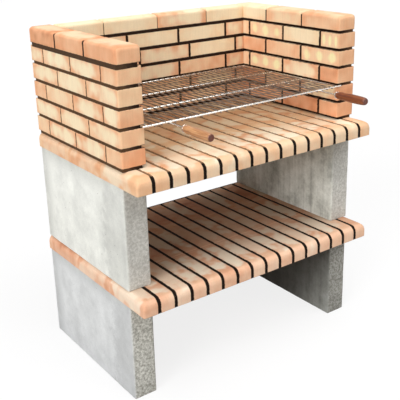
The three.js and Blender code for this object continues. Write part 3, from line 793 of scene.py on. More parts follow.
def wall_forms(collection, prefix, depth):
    """Bricks of a wall, for its courses and for its cap, with plain ends or with one free end."""
    low, high = (-FORM_HALF_LENGTH, 0, 0), (FORM_HALF_LENGTH, depth, BRICK_HEIGHT)
    inner_top, outer_top = [0, -1, 1], [0, 1, 1]
    for end, side in (("plain", 0), ("start", -1), ("stop", 1)):
        inner_end, outer_end = [side, -1, 0], [side, 1, 0]
        free = [([inner_end], FREE_INNER_RADIUS), ([outer_end], FREE_END_RADIUS)] if side else []
        block_form(
            collection, f"{prefix}_brick_{end}", low, high, free, WALL_ARRIS, WALL_CELL, WALL_END)
        joint_tops = [[s, 0, 1] for s in (-1, 1) if s != side]
        rounds = [([inner_top, outer_top], CAP_RADIUS), (joint_tops, CAP_JOINT_RADIUS)]
        if side:
            rounds += [
                ([[side, 0, 1]], CAP_RADIUS), ([inner_end], CAP_INNER_END_RADIUS),
                ([outer_end], CAP_END_RADIUS),
            ]
        block_form(
            collection, f"{prefix}_cap_{end}", low, high, rounds, WALL_ARRIS, WALL_CELL, WALL_END)


def shelf_forms(collection):
    """Bricks of a shelf row. In a row's frame x runs from the front to the back and y to the left."""
    low = (-FORM_HALF_LENGTH, -ROW_WIDTH / 2, 0)
    high = (FORM_HALF_LENGTH, ROW_WIDTH / 2, BRICK_HEIGHT)
    nose = [-1, 0, 1]
    for place, side in (("middle", 0), ("left", 1), ("right", -1)):
        top = [[0, side, 1]] if side else []
        corner = [([[-1, side, 0]], FREE_CORNER_RADIUS)] if side else []
        block_form(
            collection, f"row_front_{place}", low, high,
            [([nose] + top, NOSE_RADIUS)] + corner, ROW_ARRIS, ROW_CELL, ROW_END,
        )
        block_form(
            collection, f"row_inner_{place}", low, high,
            [(top, NOSE_RADIUS)] if side else [], ROW_ARRIS, ROW_CELL, ROW_END,
        )


def new_forms(name):
    """A collection for the forms that one kind of unit is laid from."""
    collection = bpy.data.collections.new(name)
    bpy.context.scene.collection.children.link(collection)
    return collection


def put_away(forms):
    """Removes the forms of units that are all laid."""
    for form in list(forms.objects):
        bpy.data.objects.remove(form)
    bpy.data.collections.remove(forms)


# The tree that lays units


def laid_units_tree():
    """Lays a form on each point, draws it out to the point's length, flares it towards the weather side,
    makes its faces a little uneven and chips its edges."""
    tree = bpy.data.node_groups.new("laid_units", "GeometryNodeTree")
    for name, kind in (
        ("Points", "NodeSocketGeometry"), ("Forms", "NodeSocketCollection"),
        ("Unevenness", "NodeSocketFloat"), ("Lumps per metre", "NodeSocketFloat"),
        ("Chipping", "NodeSocketFloat"), ("Seed", "NodeSocketInt"), ("Finish", "NodeSocketMaterial"),
    ):
        tree.interface.new_socket(name, in_out="INPUT", socket_type=kind)
    tree.interface.new_socket("Units", in_out="OUTPUT", socket_type="NodeSocketGeometry")
    given = add_node(tree, "NodeGroupInput").outputs
    forms = add_node(
        tree, "GeometryNodeCollectionInfo", {"transform_space": "ORIGINAL"},
        {"Collection": given["Forms"], "Separate Children": True, "Reset Children": True},
    ).outputs[0]
    form = add_node(
        tree, "GeometryNodeInputNamedAttribute", {"data_type": "INT"}, {"Name": "form"}).outputs[0]
    laid = add_node(
        tree, "GeometryNodeInstanceOnPoints",
        inputs={"Points": given["Points"], "Instance": forms, "Pick Instance": True, "Instance Index": form},
    ).outputs[0]
    units = add_node(tree, "GeometryNodeRealizeInstances", inputs={0: laid}).outputs[0]

    said = {
        name: add_node(
            tree, "GeometryNodeInputNamedAttribute", {"data_type": kind}, {"Name": name}).outputs[0]
        for kind, names in (
            ("FLOAT", ("half_length", "unit_core_length", "flare_start", "flare_stop", "unit_seed", "worn")),
            ("FLOAT_VECTOR", ("unit_place", "unit_size", "open_low", "open_high")),
        )
        for name in names
    }
    at = add_node(tree, "ShaderNodeSeparateXYZ", inputs={0: said["unit_place"]}).outputs
    size = add_node(tree, "ShaderNodeSeparateXYZ", inputs={0: said["unit_size"]}).outputs
    share = add_node(
        tree, "ShaderNodeMath", {"operation": "DIVIDE"}, {0: at[0], 1: said["unit_core_length"]}).outputs[0]
    held = add_node(tree, "ShaderNodeClamp", inputs={0: share, 1: -1.0, 2: 1.0}).outputs[0]
    growth = add_node(
        tree, "ShaderNodeMath", {"operation": "SUBTRACT"},
        {0: said["half_length"], 1: size[0]}).outputs[0]
    drawn = add_node(tree, "ShaderNodeMath", {"operation": "MULTIPLY"}, {0: growth, 1: held}).outputs[0]
    to_stop = add_node(tree, "ShaderNodeClamp", inputs={0: share, 1: 0.0, 2: 1.0}).outputs[0]
    to_start = add_node(tree, "ShaderNodeClamp", inputs={0: share, 1: -1.0, 2: 0.0}).outputs[0]
    stop_flare = add_node(
        tree, "ShaderNodeMath", {"operation": "MULTIPLY"}, {0: to_stop, 1: said["flare_stop"]}).outputs[0]
    start_flare = add_node(
        tree, "ShaderNodeMath", {"operation": "MULTIPLY"}, {0: to_start, 1: said["flare_start"]}).outputs[0]
    flare = add_node(
        tree, "ShaderNodeMath", {"operation": "ADD"}, {0: stop_flare, 1: start_flare}).outputs[0]
    outward = add_node(tree, "ShaderNodeMath", {"operation": "MULTIPLY"}, {0: flare, 1: at[1]}).outputs[0]
    shift = add_node(tree, "ShaderNodeMath", {"operation": "ADD"}, {0: drawn, 1: outward}).outputs[0]
    offset = add_node(tree, "ShaderNodeCombineXYZ", inputs={0: shift}).outputs[0]
    long_units = add_node(
        tree, "GeometryNodeSetPosition", inputs={"Geometry": units, "Offset": offset}).outputs[0]

    # Where a point of the finished unit is: -1 to 1 along it, and 0 to 1 across and up it
    reach = add_node(tree, "ShaderNodeMath", {"operation": "ADD"}, {0: at[0], 1: drawn}).outputs[0]
    along = add_node(
        tree, "ShaderNodeMath", {"operation": "DIVIDE"}, {0: reach, 1: said["half_length"]}).outputs[0]
    shares = add_node(tree, "ShaderNodeCombineXYZ", inputs={0: along, 1: at[1], 2: at[2]}).outputs[0]
    placed = add_node(
        tree, "GeometryNodeStoreNamedAttribute", {"data_type": "FLOAT_VECTOR", "domain": "POINT"},
        {"Geometry": long_units, "Name": "place", "Value": shares},
    ).outputs[0]

    # How far it is from the nearest side that meets a joint. A side that is open counts as far away.
    from_start = add_node(
        tree, "ShaderNodeMath", {"operation": "ADD"}, {0: said["half_length"], 1: reach}).outputs[0]
    length = add_node(
        tree, "ShaderNodeMath", {"operation": "MULTIPLY"}, {0: said["half_length"], 1: 2.0}).outputs[0]
    across = add_node(tree, "ShaderNodeMath", {"operation": "MULTIPLY"}, {0: at[1], 1: size[1]}).outputs[0]
    up = add_node(tree, "ShaderNodeMath", {"operation": "MULTIPLY"}, {0: at[2], 1: size[2]}).outputs[0]
    from_low = add_node(
        tree, "ShaderNodeCombineXYZ", inputs={0: from_start, 1: across, 2: up}).outputs[0]
    whole = add_node(
        tree, "ShaderNodeCombineXYZ", inputs={0: length, 1: size[1], 2: size[2]}).outputs[0]
    from_high = add_node(
        tree, "ShaderNodeVectorMath", {"operation": "SUBTRACT"}, {0: whole, 1: from_low}).outputs[0]
    low_joints = add_node(
        tree, "ShaderNodeVectorMath", {"operation": "ADD"}, {0: from_low, 1: said["open_low"]}).outputs[0]
    high_joints = add_node(
        tree, "ShaderNodeVectorMath", {"operation": "ADD"}, {0: from_high, 1: said["open_high"]}).outputs[0]
    nearest = add_node(
        tree, "ShaderNodeVectorMath", {"operation": "MINIMUM"}, {0: low_joints, 1: high_joints}).outputs[0]
    near = add_node(tree, "ShaderNodeSeparateXYZ", inputs={0: nearest}).outputs
    nearer = add_node(tree, "ShaderNodeMath", {"operation": "MINIMUM"}, {0: near[0], 1: near[1]}).outputs[0]
    joint = add_node(tree, "ShaderNodeMath", {"operation": "MINIMUM"}, {0: nearer, 1: near[2]}).outputs[0]
    measured = add_node(
        tree, "GeometryNodeStoreNamedAttribute", {"data_type": "FLOAT", "domain": "POINT"},
        {"Geometry": placed, "Name": "joint_distance", "Value": joint},
    ).outputs[0]

    # Uneven faces and chipped edges, different on each unit
    number = add_node(
        tree, "ShaderNodeMath", {"operation": "ADD"}, {0: said["unit_seed"], 1: given["Seed"]}).outputs[0]
    here = add_node(tree, "GeometryNodeInputPosition").outputs[0]
    lumps = add_node(
        tree, "ShaderNodeTexNoise", {"noise_dimensions": "4D"},
        {"Vector": here, "W": number, "Scale": given["Lumps per metre"], "Detail": 2},
    ).outputs[1]
    centred = add_node(
        tree, "ShaderNodeVectorMath", {"operation": "SUBTRACT"}, {0: lumps, 1: (0.5, 0.5, 0.5)}).outputs[0]
    uneven = add_node(
        tree, "ShaderNodeVectorMath", {"operation": "SCALE"}, {0: centred, 3: given["Unevenness"]}).outputs[0]
    nicks = add_node(
        tree, "ShaderNodeTexNoise", {"noise_dimensions": "4D"},
        {"Vector": here, "W": number, "Scale": 1 / (14 * MM), "Detail": 2, "Roughness": 0.7},
    ).outputs[0]
    nick = add_node(
        tree, "ShaderNodeMapRange", inputs={0: nicks, 1: 0.5, 2: 0.8, 3: 0.0, 4: 1.0}).outputs[0]
    loss = add_node(tree, "ShaderNodeMath", {"operation": "MULTIPLY"}, {0: nick, 1: said["worn"]}).outputs[0]
    depth = add_node(
        tree, "ShaderNodeMath", {"operation": "MULTIPLY"}, {0: loss, 1: given["Chipping"]}).outputs[0]
    inward = add_node(tree, "ShaderNodeMath", {"operation": "MULTIPLY"}, {0: depth, 1: -1.0}).outputs[0]
    normal = add_node(tree, "GeometryNodeInputNormal").outputs[0]
    chipped = add_node(
        tree, "ShaderNodeVectorMath", {"operation": "SCALE"}, {0: normal, 3: inward}).outputs[0]
    rough = add_node(tree, "ShaderNodeVectorMath", {"operation": "ADD"}, {0: uneven, 1: chipped}).outputs[0]
    finished = add_node(
        tree, "GeometryNodeSetPosition", inputs={"Geometry": measured, "Offset": rough}).outputs[0]
    real = add_node(tree, "GeometryNodeRealizeInstances", inputs={0: finished}).outputs[0]
    coated = add_node(
        tree, "GeometryNodeSetMaterial", inputs={"Geometry": real, "Material": given["Finish"]}).outputs[0]
    add_node(tree, "NodeGroupOutput", inputs={0: coated})
    return tree


LAID_UNITS = laid_units_tree()


def set_inputs(modifier, values):
    """Sets a modifier's inputs by their sockets' identifiers."""
    for socket in modifier.node_group.interface.items_tree:
        if socket.in_out == "INPUT" and socket.name in values:
            modifier[socket.identifier] = values[socket.name]


def lay(name, units, forms, finish, turn, wear):
    """Lays the units and turns them from the mason's frame into the part's. A unit says where its middle
    is, its form and half its length, and may say its flare at each end, a seed, the firing of its faces
    and of its header, how bleached and how smeared mortar is on it, and which sides meet no joint. wear is
    how uneven and how chipped the units are."""
    order = sorted(form.name for form in forms.objects)
    mesh = bpy.data.meshes.new(name)
    mesh.from_pydata([unit["at"] for unit in units], [], [])
    for key, kind, value in (
        ("form", "INT", lambda unit: order.index(unit["form"])),
        ("half_length", "FLOAT", lambda unit: unit["half_length"]),
        ("flare_start", "FLOAT", lambda unit: unit.get("flare", (0, 0))[0]),
        ("flare_stop", "FLOAT", lambda unit: unit.get("flare", (0, 0))[1]),
        # Wide apart, so that the noise on one unit says nothing about the next
        ("unit_seed", "FLOAT", lambda unit: 10.0 * unit.get("seed", 0)),
        ("header", "FLOAT", lambda unit: unit.get("header", 0)),
        ("bleach", "FLOAT", lambda unit: unit.get("bleach", 0)),
        ("smear", "FLOAT", lambda unit: unit.get("smear", 1)),
    ):
        values = [value(unit) for unit in units]
        mesh.attributes.new(key, kind, "POINT").data.foreach_set("value", values)
    for key in ("firing", "open_low", "open_high"):
        values = [c for unit in units for c in unit.get(key, (0, 0, 0))]
        mesh.attributes.new(key, "FLOAT_VECTOR", "POINT").data.foreach_set("vector", values)
    piece = new_piece(name, mesh)
    modifier = piece.modifiers.new("laid", "NODES")
    modifier.node_group = LAID_UNITS
    set_inputs(modifier, {
        "Forms": forms, "Unevenness": wear["unevenness"], "Lumps per metre": 1 / wear["lump"],
        "Chipping": wear["chipping"], "Seed": wear["seed"], "Finish": finish,
    })
    as_plain_mesh(piece)
    piece.data.transform(turn)
    return piece


def finish_piece(piece, body, slot, *nodes):
    """Attaches a piece to the body that it rides on, and hides the nodes that it replaces. slot is not used.
    """
    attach(piece, body)
    if nodes:
        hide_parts(*nodes)


# Kinds of firing, as warmth of the skin, cream of the middle and strength of the kiln's spots: pale,
# cream in the middle, sandy, peach (e), orange, and kissed by its neighbours
FIRINGS = {
    "p": (0.15, 0.95, 0),
    "c": (0.6, 1, 0),
    "s": (0.45, 0.55, 0),
    "e": (0.58, 0.3, 0),
    "o": (0.78, 0.12, 0),
    "k": (0.5, 0.3, 0.95),
}
# How much the warmth of the faces and of the headers varies within a kind, and the least share that a
# brick has of its cream
WARMTH_SPREAD = 0.07
HEADER_SPREAD = 0.1
LEAST_CREAM = 0.85
FIRING_SEED = 7


def fired(letter, dice, header=None):
    """Firing of one brick, a little different from the next one of its kind."""
    warmth, flash, kiss = FIRINGS[letter]
    return {
        "firing": (
            warmth + dice.uniform(-WARMTH_SPREAD, WARMTH_SPREAD), flash * dice.uniform(LEAST_CREAM, 1),
            kiss,
        ),
        "header": warmth + dice.uniform(-HEADER_SPREAD, HEADER_SPREAD) if header is None else header,
        "seed": dice.random(),
    }


# Shelves

dice = random.Random(FIRING_SEED)
shelf_low, shelf_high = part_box("lower_shelf_row_01")
shelf_depth = shelf_high.y - shelf_low.y
row_length = ROW_BRICK_COUNT * ROW_BRICK_LENGTH
# Firing of the bricks of each shelf, row by row from the left: front, middle and rear bricks
UPPER_ROWS = [
    "see", "cse", "csc", "sce", "cse", "pec", "sce", "cse",
    "cce", "ccs", "ces", "scc", "cse", "sce", "ccs", "ees",
]
LOWER_ROWS = [
    "seo", "cse", "sec", "cos", "cce", "ccs", "ceo", "cse",
    "scc", "ceo", "cse", "sec", "cce", "cco", "sec", "ooe",
]
# Warmth of the noses and of the other ends of the bricks on each shelf, how much it varies, and how much
# warmer it is in the two outermost rows
UPPER_ENDS = 0.4
LOWER_ENDS = 0.52
ENDS_SPREAD = 0.12
OUTERMOST_ENDS = 0.15
# How dark mortar is smeared on the bricks, and how far brick dust covers it
UPPER_MORTAR = {"smear": 0.1, "dust": 0.8}
LOWER_MORTAR = {"smear": 0.85, "dust": 0}


def row_units(rows, ends, smear):
    """The bricks of a shelf, row by row from the left."""
    units = []
    left = (ROW_COUNT - 1) * ROW_PITCH / 2
    for i, letters in enumerate(rows):
        side = "left" if i == 0 else "right" if i == ROW_COUNT - 1 else "middle"
        for k, letter in enumerate(letters):
            front = "front" if k == 0 else "inner"
            start = k * ROW_BRICK_LENGTH
            # The rear bricks of the two outermost rows run on to the back edge of the shelf
            is_long = side != "middle" and k == ROW_BRICK_COUNT - 1
            stop = shelf_depth if is_long else start + ROW_BRICK_LENGTH
            warmer = 0 if side == "middle" else OUTERMOST_ENDS
            header = ends + dice.uniform(-ENDS_SPREAD, ENDS_SPREAD) + warmer
            units.append({
                "at": ((start + stop) / 2, left - i * ROW_PITCH, 0),
                "form": f"row_{front}_{side}",
                "half_length": (stop - start) / 2 - BUTT_GAP / 2,
                "open_low": (NO_JOINT, NO_JOINT if side == "right" else 0, NO_JOINT),
                "open_high": (NO_JOINT, NO_JOINT if side == "left" else 0, NO_JOINT),
                "smear": smear,
                **fired(letter, dice, header),
            })
    return units


def row_frame(node):
    """From a shelf's frame, with x to the back and y to the left, to the part's frame."""
    low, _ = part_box(node)
    return Matrix.Translation((0, low.y, low.z)) @ Matrix.Rotation(math.pi / 2, 4, "Z")


shelf_units = new_forms("shelf_forms")
shelf_forms(shelf_units)
for prefix, rows, ends, mortar, finish in (
    ("lower", LOWER_ROWS, LOWER_ENDS, LOWER_MORTAR, LOWER_BRICK),
    ("upper", UPPER_ROWS, UPPER_ENDS, UPPER_MORTAR, HEARTH_BRICK),
):
    nodes = [f"{prefix}_shelf_row_{i + 1:02d}" for i in range(ROW_COUNT)]
    bricks = lay(
        f"{prefix}_shelf_bricks", row_units(rows, ends, mortar["smear"]), shelf_units, finish,
        row_frame(nodes[0]), SHELF_BRICK_WEAR,
    )
    finish_piece(bricks, "masonry", "brick", *nodes)
put_away(shelf_units)

# Ribs of mortar between the rows, and a strip along the back edge
mortar_units = new_forms("shelf_mortar_forms")
crest = BRICK_HEIGHT - ROW_JOINT_RECESS
rib_half = (row_length - ROW_JOINT_RECESS) / 2
rib_side = ROW_JOINT / 2 + BEDDING
block_form(
    mortar_units, "rib", (-rib_half, -rib_side, 0), (rib_half, rib_side, crest),
    [([[-1, 0, 1]], NOSE_RADIUS - ROW_JOINT_RECESS)], JOINT_ARRIS, JOINT_CELL,
)
strip_low, strip_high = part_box("lower_shelf_mortar")
strip_half = REAR_STRIP_DEPTH / 2
block_form(
    mortar_units, "strip", (-strip_half, strip_low.x, 0), (strip_half, strip_high.x, crest),
    [], FILL_ARRIS, JOINT_CELL,
)
for prefix, mortar in (("lower", LOWER_MORTAR), ("upper", UPPER_MORTAR)):
    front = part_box(f"{prefix}_shelf_row_01")[0].y
    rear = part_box(f"{prefix}_shelf_mortar")[1].y
    units = [
        {
            "at": (ROW_JOINT_RECESS + rib_half, (i - (ROW_COUNT - 2) / 2) * ROW_PITCH, 0), "form": "rib",
            "half_length": rib_half, "header": mortar["dust"], "seed": i,
        }
        for i in range(ROW_COUNT - 1)
    ]
    units.append({
        "at": (rear - front - strip_half, 0, 0), "form": "strip", "half_length": strip_half,
        "seed": 0.5,
    })
    pointing = lay(
        f"{prefix}_shelf_pointing", units, mortar_units, MORTAR, row_frame(f"{prefix}_shelf_row_01"),
        SHELF_MORTAR_WEAR,
    )
    finish_piece(pointing, "masonry", "mortar", f"{prefix}_shelf_mortar")
put_away(mortar_units)


# Walls


def stretches(first, whole, length):
    """The bricks of a course as (start, stop) along the wall."""
    found = []
    start, stop = 0, first
    while stop < length - UPRIGHT_JOINT:
        found.append((start, stop))
        start = stop + UPRIGHT_JOINT
        stop = start + whole
    return found + [(start, length)]


def wall_frame(x, y, z, degrees):
    """From a wall's frame, with x along it and y to the weather side, to the part's frame."""
    return Matrix.Translation((x, y, z)) @ Matrix.Rotation(math.radians(degrees), 4, "Z")


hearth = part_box("upper_shelf_row_01")[1].z
shelf_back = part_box("upper_shelf_mortar")[1].y
left_low, left_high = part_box("left_wall_course_1")
right_low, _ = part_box("right_wall_course_1")
back_low, back_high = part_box("back_wall_course_1")
side_length = left_high.y - left_low.y
back_length = back_high.x - back_low.x
side_whole = (side_length - (SIDE_BRICK_COUNT - 1) * UPRIGHT_JOINT) / SIDE_BRICK_COUNT
side_half = (side_whole - UPRIGHT_JOINT) / 2

wall_units = new_forms("wall_forms")
wall_forms(wall_units, "side", SIDE_DEPTH)
wall_forms(wall_units, "back", BACK_DEPTH)

# The walls, with the recess of the beds at the start, at the stop and on the weather side, the firing
# of each course from the bottom up and from the wall's start, and that of the headers at the free end
WALLS = {
    "left": {
        "frame": wall_frame(left_high.x, left_low.y, hearth, 90),
        "length": side_length, "depth": SIDE_DEPTH, "form": "side", "free": "start",
        "recesses": (BED_RECESS_LEFT, BED_RECESS_DEEP, BED_RECESS_LEFT), "groove": GROOVE_DEPTH,
        "cap_overrun": 0, "cap_flare": CAP_FLARE_LEFT, "cap_wiped": 0,
        "courses": ["ecce", "ccc", "ccse", "ccc", "eccc", "ooo"],
        "headers": [0.68, 0.5, 0.62, 0.38, 0.48, 0.62],
    },
    "right": {
        "frame": wall_frame(right_low.x, shelf_back, hearth, -90),
        "length": side_length, "depth": SIDE_DEPTH, "form": "side", "free": "stop",
        "recesses": (BED_RECESS_DEEP, BED_RECESS_FRONT, BED_RECESS_DEEP), "groove": GROOVE_DEPTH,
        "cap_overrun": CAP_OVERRUN_RIGHT, "cap_flare": 0, "cap_wiped": CAP_END_WIPED,
        # The orange firings of the lowest courses, under the grill, are partly painted shade there
        "courses": ["oooo", "oec", "skco", "oek", "skpk", "pse"],
        "headers": [0.72, 0.74, 0.62, 0.55, 0.58, 0.58],
    },
    "back": {
        "frame": wall_frame(back_low.x, back_low.y, hearth, 0),
        "length": back_length, "depth": BACK_DEPTH, "form": "back", "free": None,
        # Its beds reach into the ends of the side walls' grooves and close them
        "recesses": (-GROOVE_DEPTH, -GROOVE_DEPTH, BED_RECESS_DEEP), "groove": BED_RECESS_BACK,
        # The warmer firings of the two lowest courses, under the grill, are partly painted shade there
        "cap_overrun": CAP_OVERRUN_BACK, "cap_flare": 0, "cap_wiped": CAP_END_WIPED,
        "courses": ["eoese", "sesce", "cscec", "pccpc", "pcppc", "ppcp"],
        "headers": None,
    },
}


def course_bricks(wall, i):
    """The bricks of course i. In a side wall every second course starts and ends with a half brick."""
    if wall["form"] == "back":
        shares = BACK_FIRST_BRICK_SHARES
        return stretches(shares[i] * BACK_BRICK_LENGTH, BACK_BRICK_LENGTH, wall["length"])
    return stretches(side_half if i % 2 == 0 else side_whole, side_whole, wall["length"])


def wall_brick_units(wall):
    """The bricks of a wall, course by course from the bottom."""
    units = []
    for i in range(COURSE_COUNT):
        bricks = course_bricks(wall, i)
        is_cap = i == COURSE_COUNT - 1
        kind = "cap" if is_cap else "brick"
        for k, (start, stop) in enumerate(bricks):
            is_first, is_last = k == 0, k == len(bricks) - 1
            free = wall["free"]
            end = free if (is_first and free == "start") or (is_last and free == "stop") else "plain"
            letter = wall["courses"][i][k]
            if is_cap:
                start -= 0 if is_first else wall["cap_overrun"]
                stop += 0 if is_last else wall["cap_overrun"]
            flare = wall["cap_flare"] if is_cap else UPRIGHT_FLARE
            wiped = wall["cap_wiped"] if is_cap else END_WIPED
            units.append({
                "at": ((start + stop) / 2, 0, BED_JOINT + i * COURSE_PITCH),
                "form": f"{wall['form']}_{kind}_{end}",
                "half_length": (stop - start) / 2,
                "flare": (0 if is_first else flare, 0 if is_last else flare),
                "open_low": (NO_JOINT if is_first else wiped, NO_JOINT, 0),
                "open_high": (NO_JOINT if is_last else wiped, NO_JOINT, NO_JOINT if is_cap else 0),
                "bleach": BLEACH_CAP if is_cap else BLEACH_BED,
                "smear": 0,
                **fired(letter, dice, wall["headers"][i] if end != "plain" else None),
            })
    return units


for name, wall in WALLS.items():
    bricks = lay(
        f"{name}_wall_bricks", wall_brick_units(wall), wall_units, WALL_BRICK, wall["frame"],
        WALL_BRICK_WEAR,
    )
    nodes = [f"{name}_wall_course_{i + 1}" for i in range(COURSE_COUNT)]
    finish_piece(bricks, "masonry", "brick", *nodes)

    joints = new_forms(f"{name}_joint_forms")
    start_recess, stop_recess, outer_recess = wall["recesses"]
    bed_half = (wall["length"] - start_recess - stop_recess) / 2
    lap = BEDDING_BACK if name == "back" else BEDDING
    block_form(
        joints, "bed", (-bed_half, wall["groove"], -lap),
        (bed_half, wall["depth"] - outer_recess, BED_JOINT + lap), [], JOINT_ARRIS, JOINT_CELL,
    )
    if name == "left":
        smeared_half = bed_half + (start_recess + SMEARED_PROUD) / 2
        block_form(
            joints, "bed_smeared", (-smeared_half, wall["groove"], -SMEARED_DROP),
            (smeared_half, wall["depth"] + SMEARED_PROUD, BED_JOINT + BEDDING), [],
            JOINT_ARRIS, JOINT_CELL,
        )
    fill_half = UPRIGHT_JOINT / 2 + BEDDING
    for fill, top in (
        ("upright", BRICK_HEIGHT + BEDDING),
        ("upright_cap", BRICK_HEIGHT - CAP_JOINT_DROP),
    ):
        block_form(
            joints, fill, (-fill_half, UPRIGHT_RECESS, -BEDDING),
            (fill_half, wall["depth"] - UPRIGHT_RECESS, top), [], FILL_ARRIS, UPRIGHT_CELL,
        )
    units = []
    for i in range(COURSE_COUNT):
        level = i * COURSE_PITCH
        is_cap = i == COURSE_COUNT - 1
        if is_cap and name == "left":
            units.append({
                "at": (smeared_half - SMEARED_PROUD, 0, level), "form": "bed_smeared",
                "half_length": smeared_half, "bleach": BLEACH_SMEARED, "seed": i,
            })
        else:
            units.append({
                "at": (start_recess + bed_half, 0, level), "form": "bed", "half_length": bed_half,
                "bleach": BLEACH_BED, "seed": i,
            })
        for start, _ in course_bricks(wall, i)[1:]:
            units.append({
                "at": (start - UPRIGHT_JOINT / 2, 0, level + BED_JOINT),
                "form": "upright_cap" if is_cap else "upright", "half_length": fill_half,
                "bleach": BLEACH_CAP if is_cap else BLEACH_UPRIGHT, "seed": start,
            })
    pointing = lay(
        f"{name}_wall_pointing", units, joints, MORTAR, wall["frame"], WALL_MORTAR_WEAR)
    finish_piece(pointing, "masonry", "mortar")
    put_away(joints)
put_away(wall_units)


# Slabs


def slab(node, side, damp):
    """A cast slab with its arrises knocked in places. side is -1 on the left and 1 on the right, and
    damp is 0 for a slab that has dried pale."""
    low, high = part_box(node)
    middle = (low + high) / 2
    half = (high - low) / 2
    corners = [[a, b, 0] for a in (-1, 1) for b in (-1, 1)]
    forms = new_forms(f"{node}_form")
    block_form(
        forms, "slab", (-half.x, -half.y, -half.z), (half.x, half.y, half.z),
        [(corners, SLAB_CORNER_RADIUS)], SLAB_ARRIS, SLAB_CELL,
    )
    # The seed is different for each of the four slabs
    units = [{
        "at": middle, "form": "slab", "half_length": half.x, "seed": middle.x * 7 + middle.z * 13,
        "bleach": damp,
    }]
    piece = lay(
        node.replace("leg", "slab"), units, forms, CONCRETE, Matrix.Identity(4), SLAB_WEAR)
    put_away(forms)
    face = piece.data.attributes.new("face", "FLOAT_VECTOR", "POINT")
    shares = []
    for vertex in piece.data.vertices:
        out = side * vertex.normal.x
        shares += [max(0, out), max(0, -out), 0]
    face.data.foreach_set("vector", shares)
    finish_piece(piece, "masonry", "concrete", node)


for node, side, damp in (
    ("lower_left_leg", -1, 0),
    ("lower_right_leg", 1, 0.55),
    ("upper_left_leg", -1, 0),
    ("upper_right_leg", 1, 0),
):
    slab(node, side, damp)


# Grill


def turned(profile, start, direction, sides):
    """A round solid: its profile as (place along the axis, radius), from one end to the other."""
    mould = bmesh.new()
    axis = Vector(direction).normalized()
    one = axis.orthogonal().normalized()
    other = axis.cross(one)
    rings = []
    for along, radius in profile:
        centre = Vector(start) + axis * along
        if radius == 0:
            rings.append([mould.verts.new(centre)])
            continue
        rings.append([
            mould.verts.new(
                centre
                + one * radius * math.cos(2 * math.pi * k / sides)
                + other * radius * math.sin(2 * math.pi * k / sides)
            )
            for k in range(sides)
        ])
    for ring, following in zip(rings, rings[1:]):
        for k in range(sides):
            corners = [ring[k % len(ring)], ring[(k + 1) % len(ring)],
                       following[(k + 1) % len(following)], following[k % len(following)]]
            mould.faces.new(dict.fromkeys(corners))
    bmesh.ops.recalc_face_normals(mould, faces=mould.faces[:])
    mesh = bpy.data.meshes.new("turned")
    mould.to_mesh(mesh)
    mould.free()
    return mesh


def bar(start, stop, radius):
    """A round bar with slightly rounded ends."""
    run = Vector(stop) - Vector(start)
    edge = radius * 0.3
    profile = [(0, 0), (0, radius - edge), (edge * 0.3, radius - edge * 0.3), (edge, radius)]
    profile += [(run.length - along, r) for along, r in reversed(profile)]
    return turned(profile, start, run, BAR_SIDES)


def joined(name, meshes, material, angle):
    """One mesh piece of several meshes, smooth where its faces meet at less than the angle."""
    whole = bmesh.new()
    for mesh in meshes:
        whole.from_mesh(mesh)
    for edge in whole.edges:
        edge.smooth = not edge.is_manifold or edge.calc_face_angle() < math.radians(angle)
    for face in whole.faces:
        face.smooth = True
    result = bpy.data.meshes.new(name)
    whole.to_mesh(result)
    whole.free()
    result.materials.append(material)
    return new_piece(name, result)


grill_low, grill_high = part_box("cooking_grill")
handle_low, handle_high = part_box("left_handle")
rod_level = hearth + GRILL_COURSE * COURSE_PITCH + SEAT_GAP + CROSS_ROD_RADIUS
front_rod = left_low.y - GRILL_PROUD
rear_rod = back_low.y - GRILL_REAR_GAP
rod_spacing = (rear_rod - front_rod) / (CROSS_ROD_COUNT - 1)
rod_places = [front_rod + i * rod_spacing for i in range(CROSS_ROD_COUNT)]
bar_place = -left_high.x - SIDE_BAR_GAP - SIDE_BAR_RADIUS
pull_place = -(handle_low.x + handle_high.x) / 2
pull_level = (handle_low.z + handle_high.z) / 2
neck = handle_high.y + SEAT_GAP

# Outlines of a ferrule, from its back to its front, and of a bead of weld
ferrule = [
    (0, 0), (0, FERRULE_RADIUS - FERRULE_BACK_ROUND),
    (0.3 * FERRULE_BACK_ROUND, FERRULE_RADIUS - 0.3 * FERRULE_BACK_ROUND),
    (FERRULE_BACK_ROUND, FERRULE_RADIUS), (FERRULE_LENGTH - FERRULE_FRONT_ROUND, FERRULE_RADIUS),
    (FERRULE_LENGTH, FERRULE_RADIUS - FERRULE_FRONT_ROUND), (FERRULE_LENGTH, 0),
]
bead = [
    (WELD_HALF * (1 - math.cos(math.pi * k / WELD_STEPS)),
     WELD_RADIUS * math.sin(math.pi * k / WELD_STEPS))
    for k in range(WELD_STEPS + 1)
]
bead[0], bead[-1] = (0, 0), (2 * WELD_HALF, 0)

metal = [
    bar((grill_low.x, y, rod_level), (grill_high.x, y, rod_level), CROSS_ROD_RADIUS) for y in rod_places
]
for side in (-1, 1):
    bar_x, pull_x = side * bar_place, side * pull_place
    metal.append(bar(
        (bar_x, front_rod - SIDE_BAR_END, rod_level), (bar_x, rear_rod + SIDE_BAR_END, rod_level),
        SIDE_BAR_RADIUS,
    ))
    metal.append(bar(
        (pull_x, neck - PULL_ROD_GRIP, pull_level), (pull_x, rod_places[1] + PULL_ROD_END, pull_level),
        PULL_ROD_RADIUS,
    ))
    metal.append(turned(ferrule, (pull_x, neck + FERRULE_LENGTH, pull_level), (0, -1, 0), TURNED_SIDES))
    # Beads of weld between a pull rod and the cross rods that lie on it
    for y in rod_places[:2]:
        for x in (-1, 1):
            start = (pull_x + x * WELD_ASIDE, y - WELD_HALF, pull_level + WELD_ABOVE)
            metal.append(turned(bead, start, (0, 1, 0), WELD_SIDES))
grill_frame = joined("grill_frame", metal, BRIGHT_RODS, angle=40)
finish_piece(grill_frame, "grill", "chromed_wire", "cooking_grill")


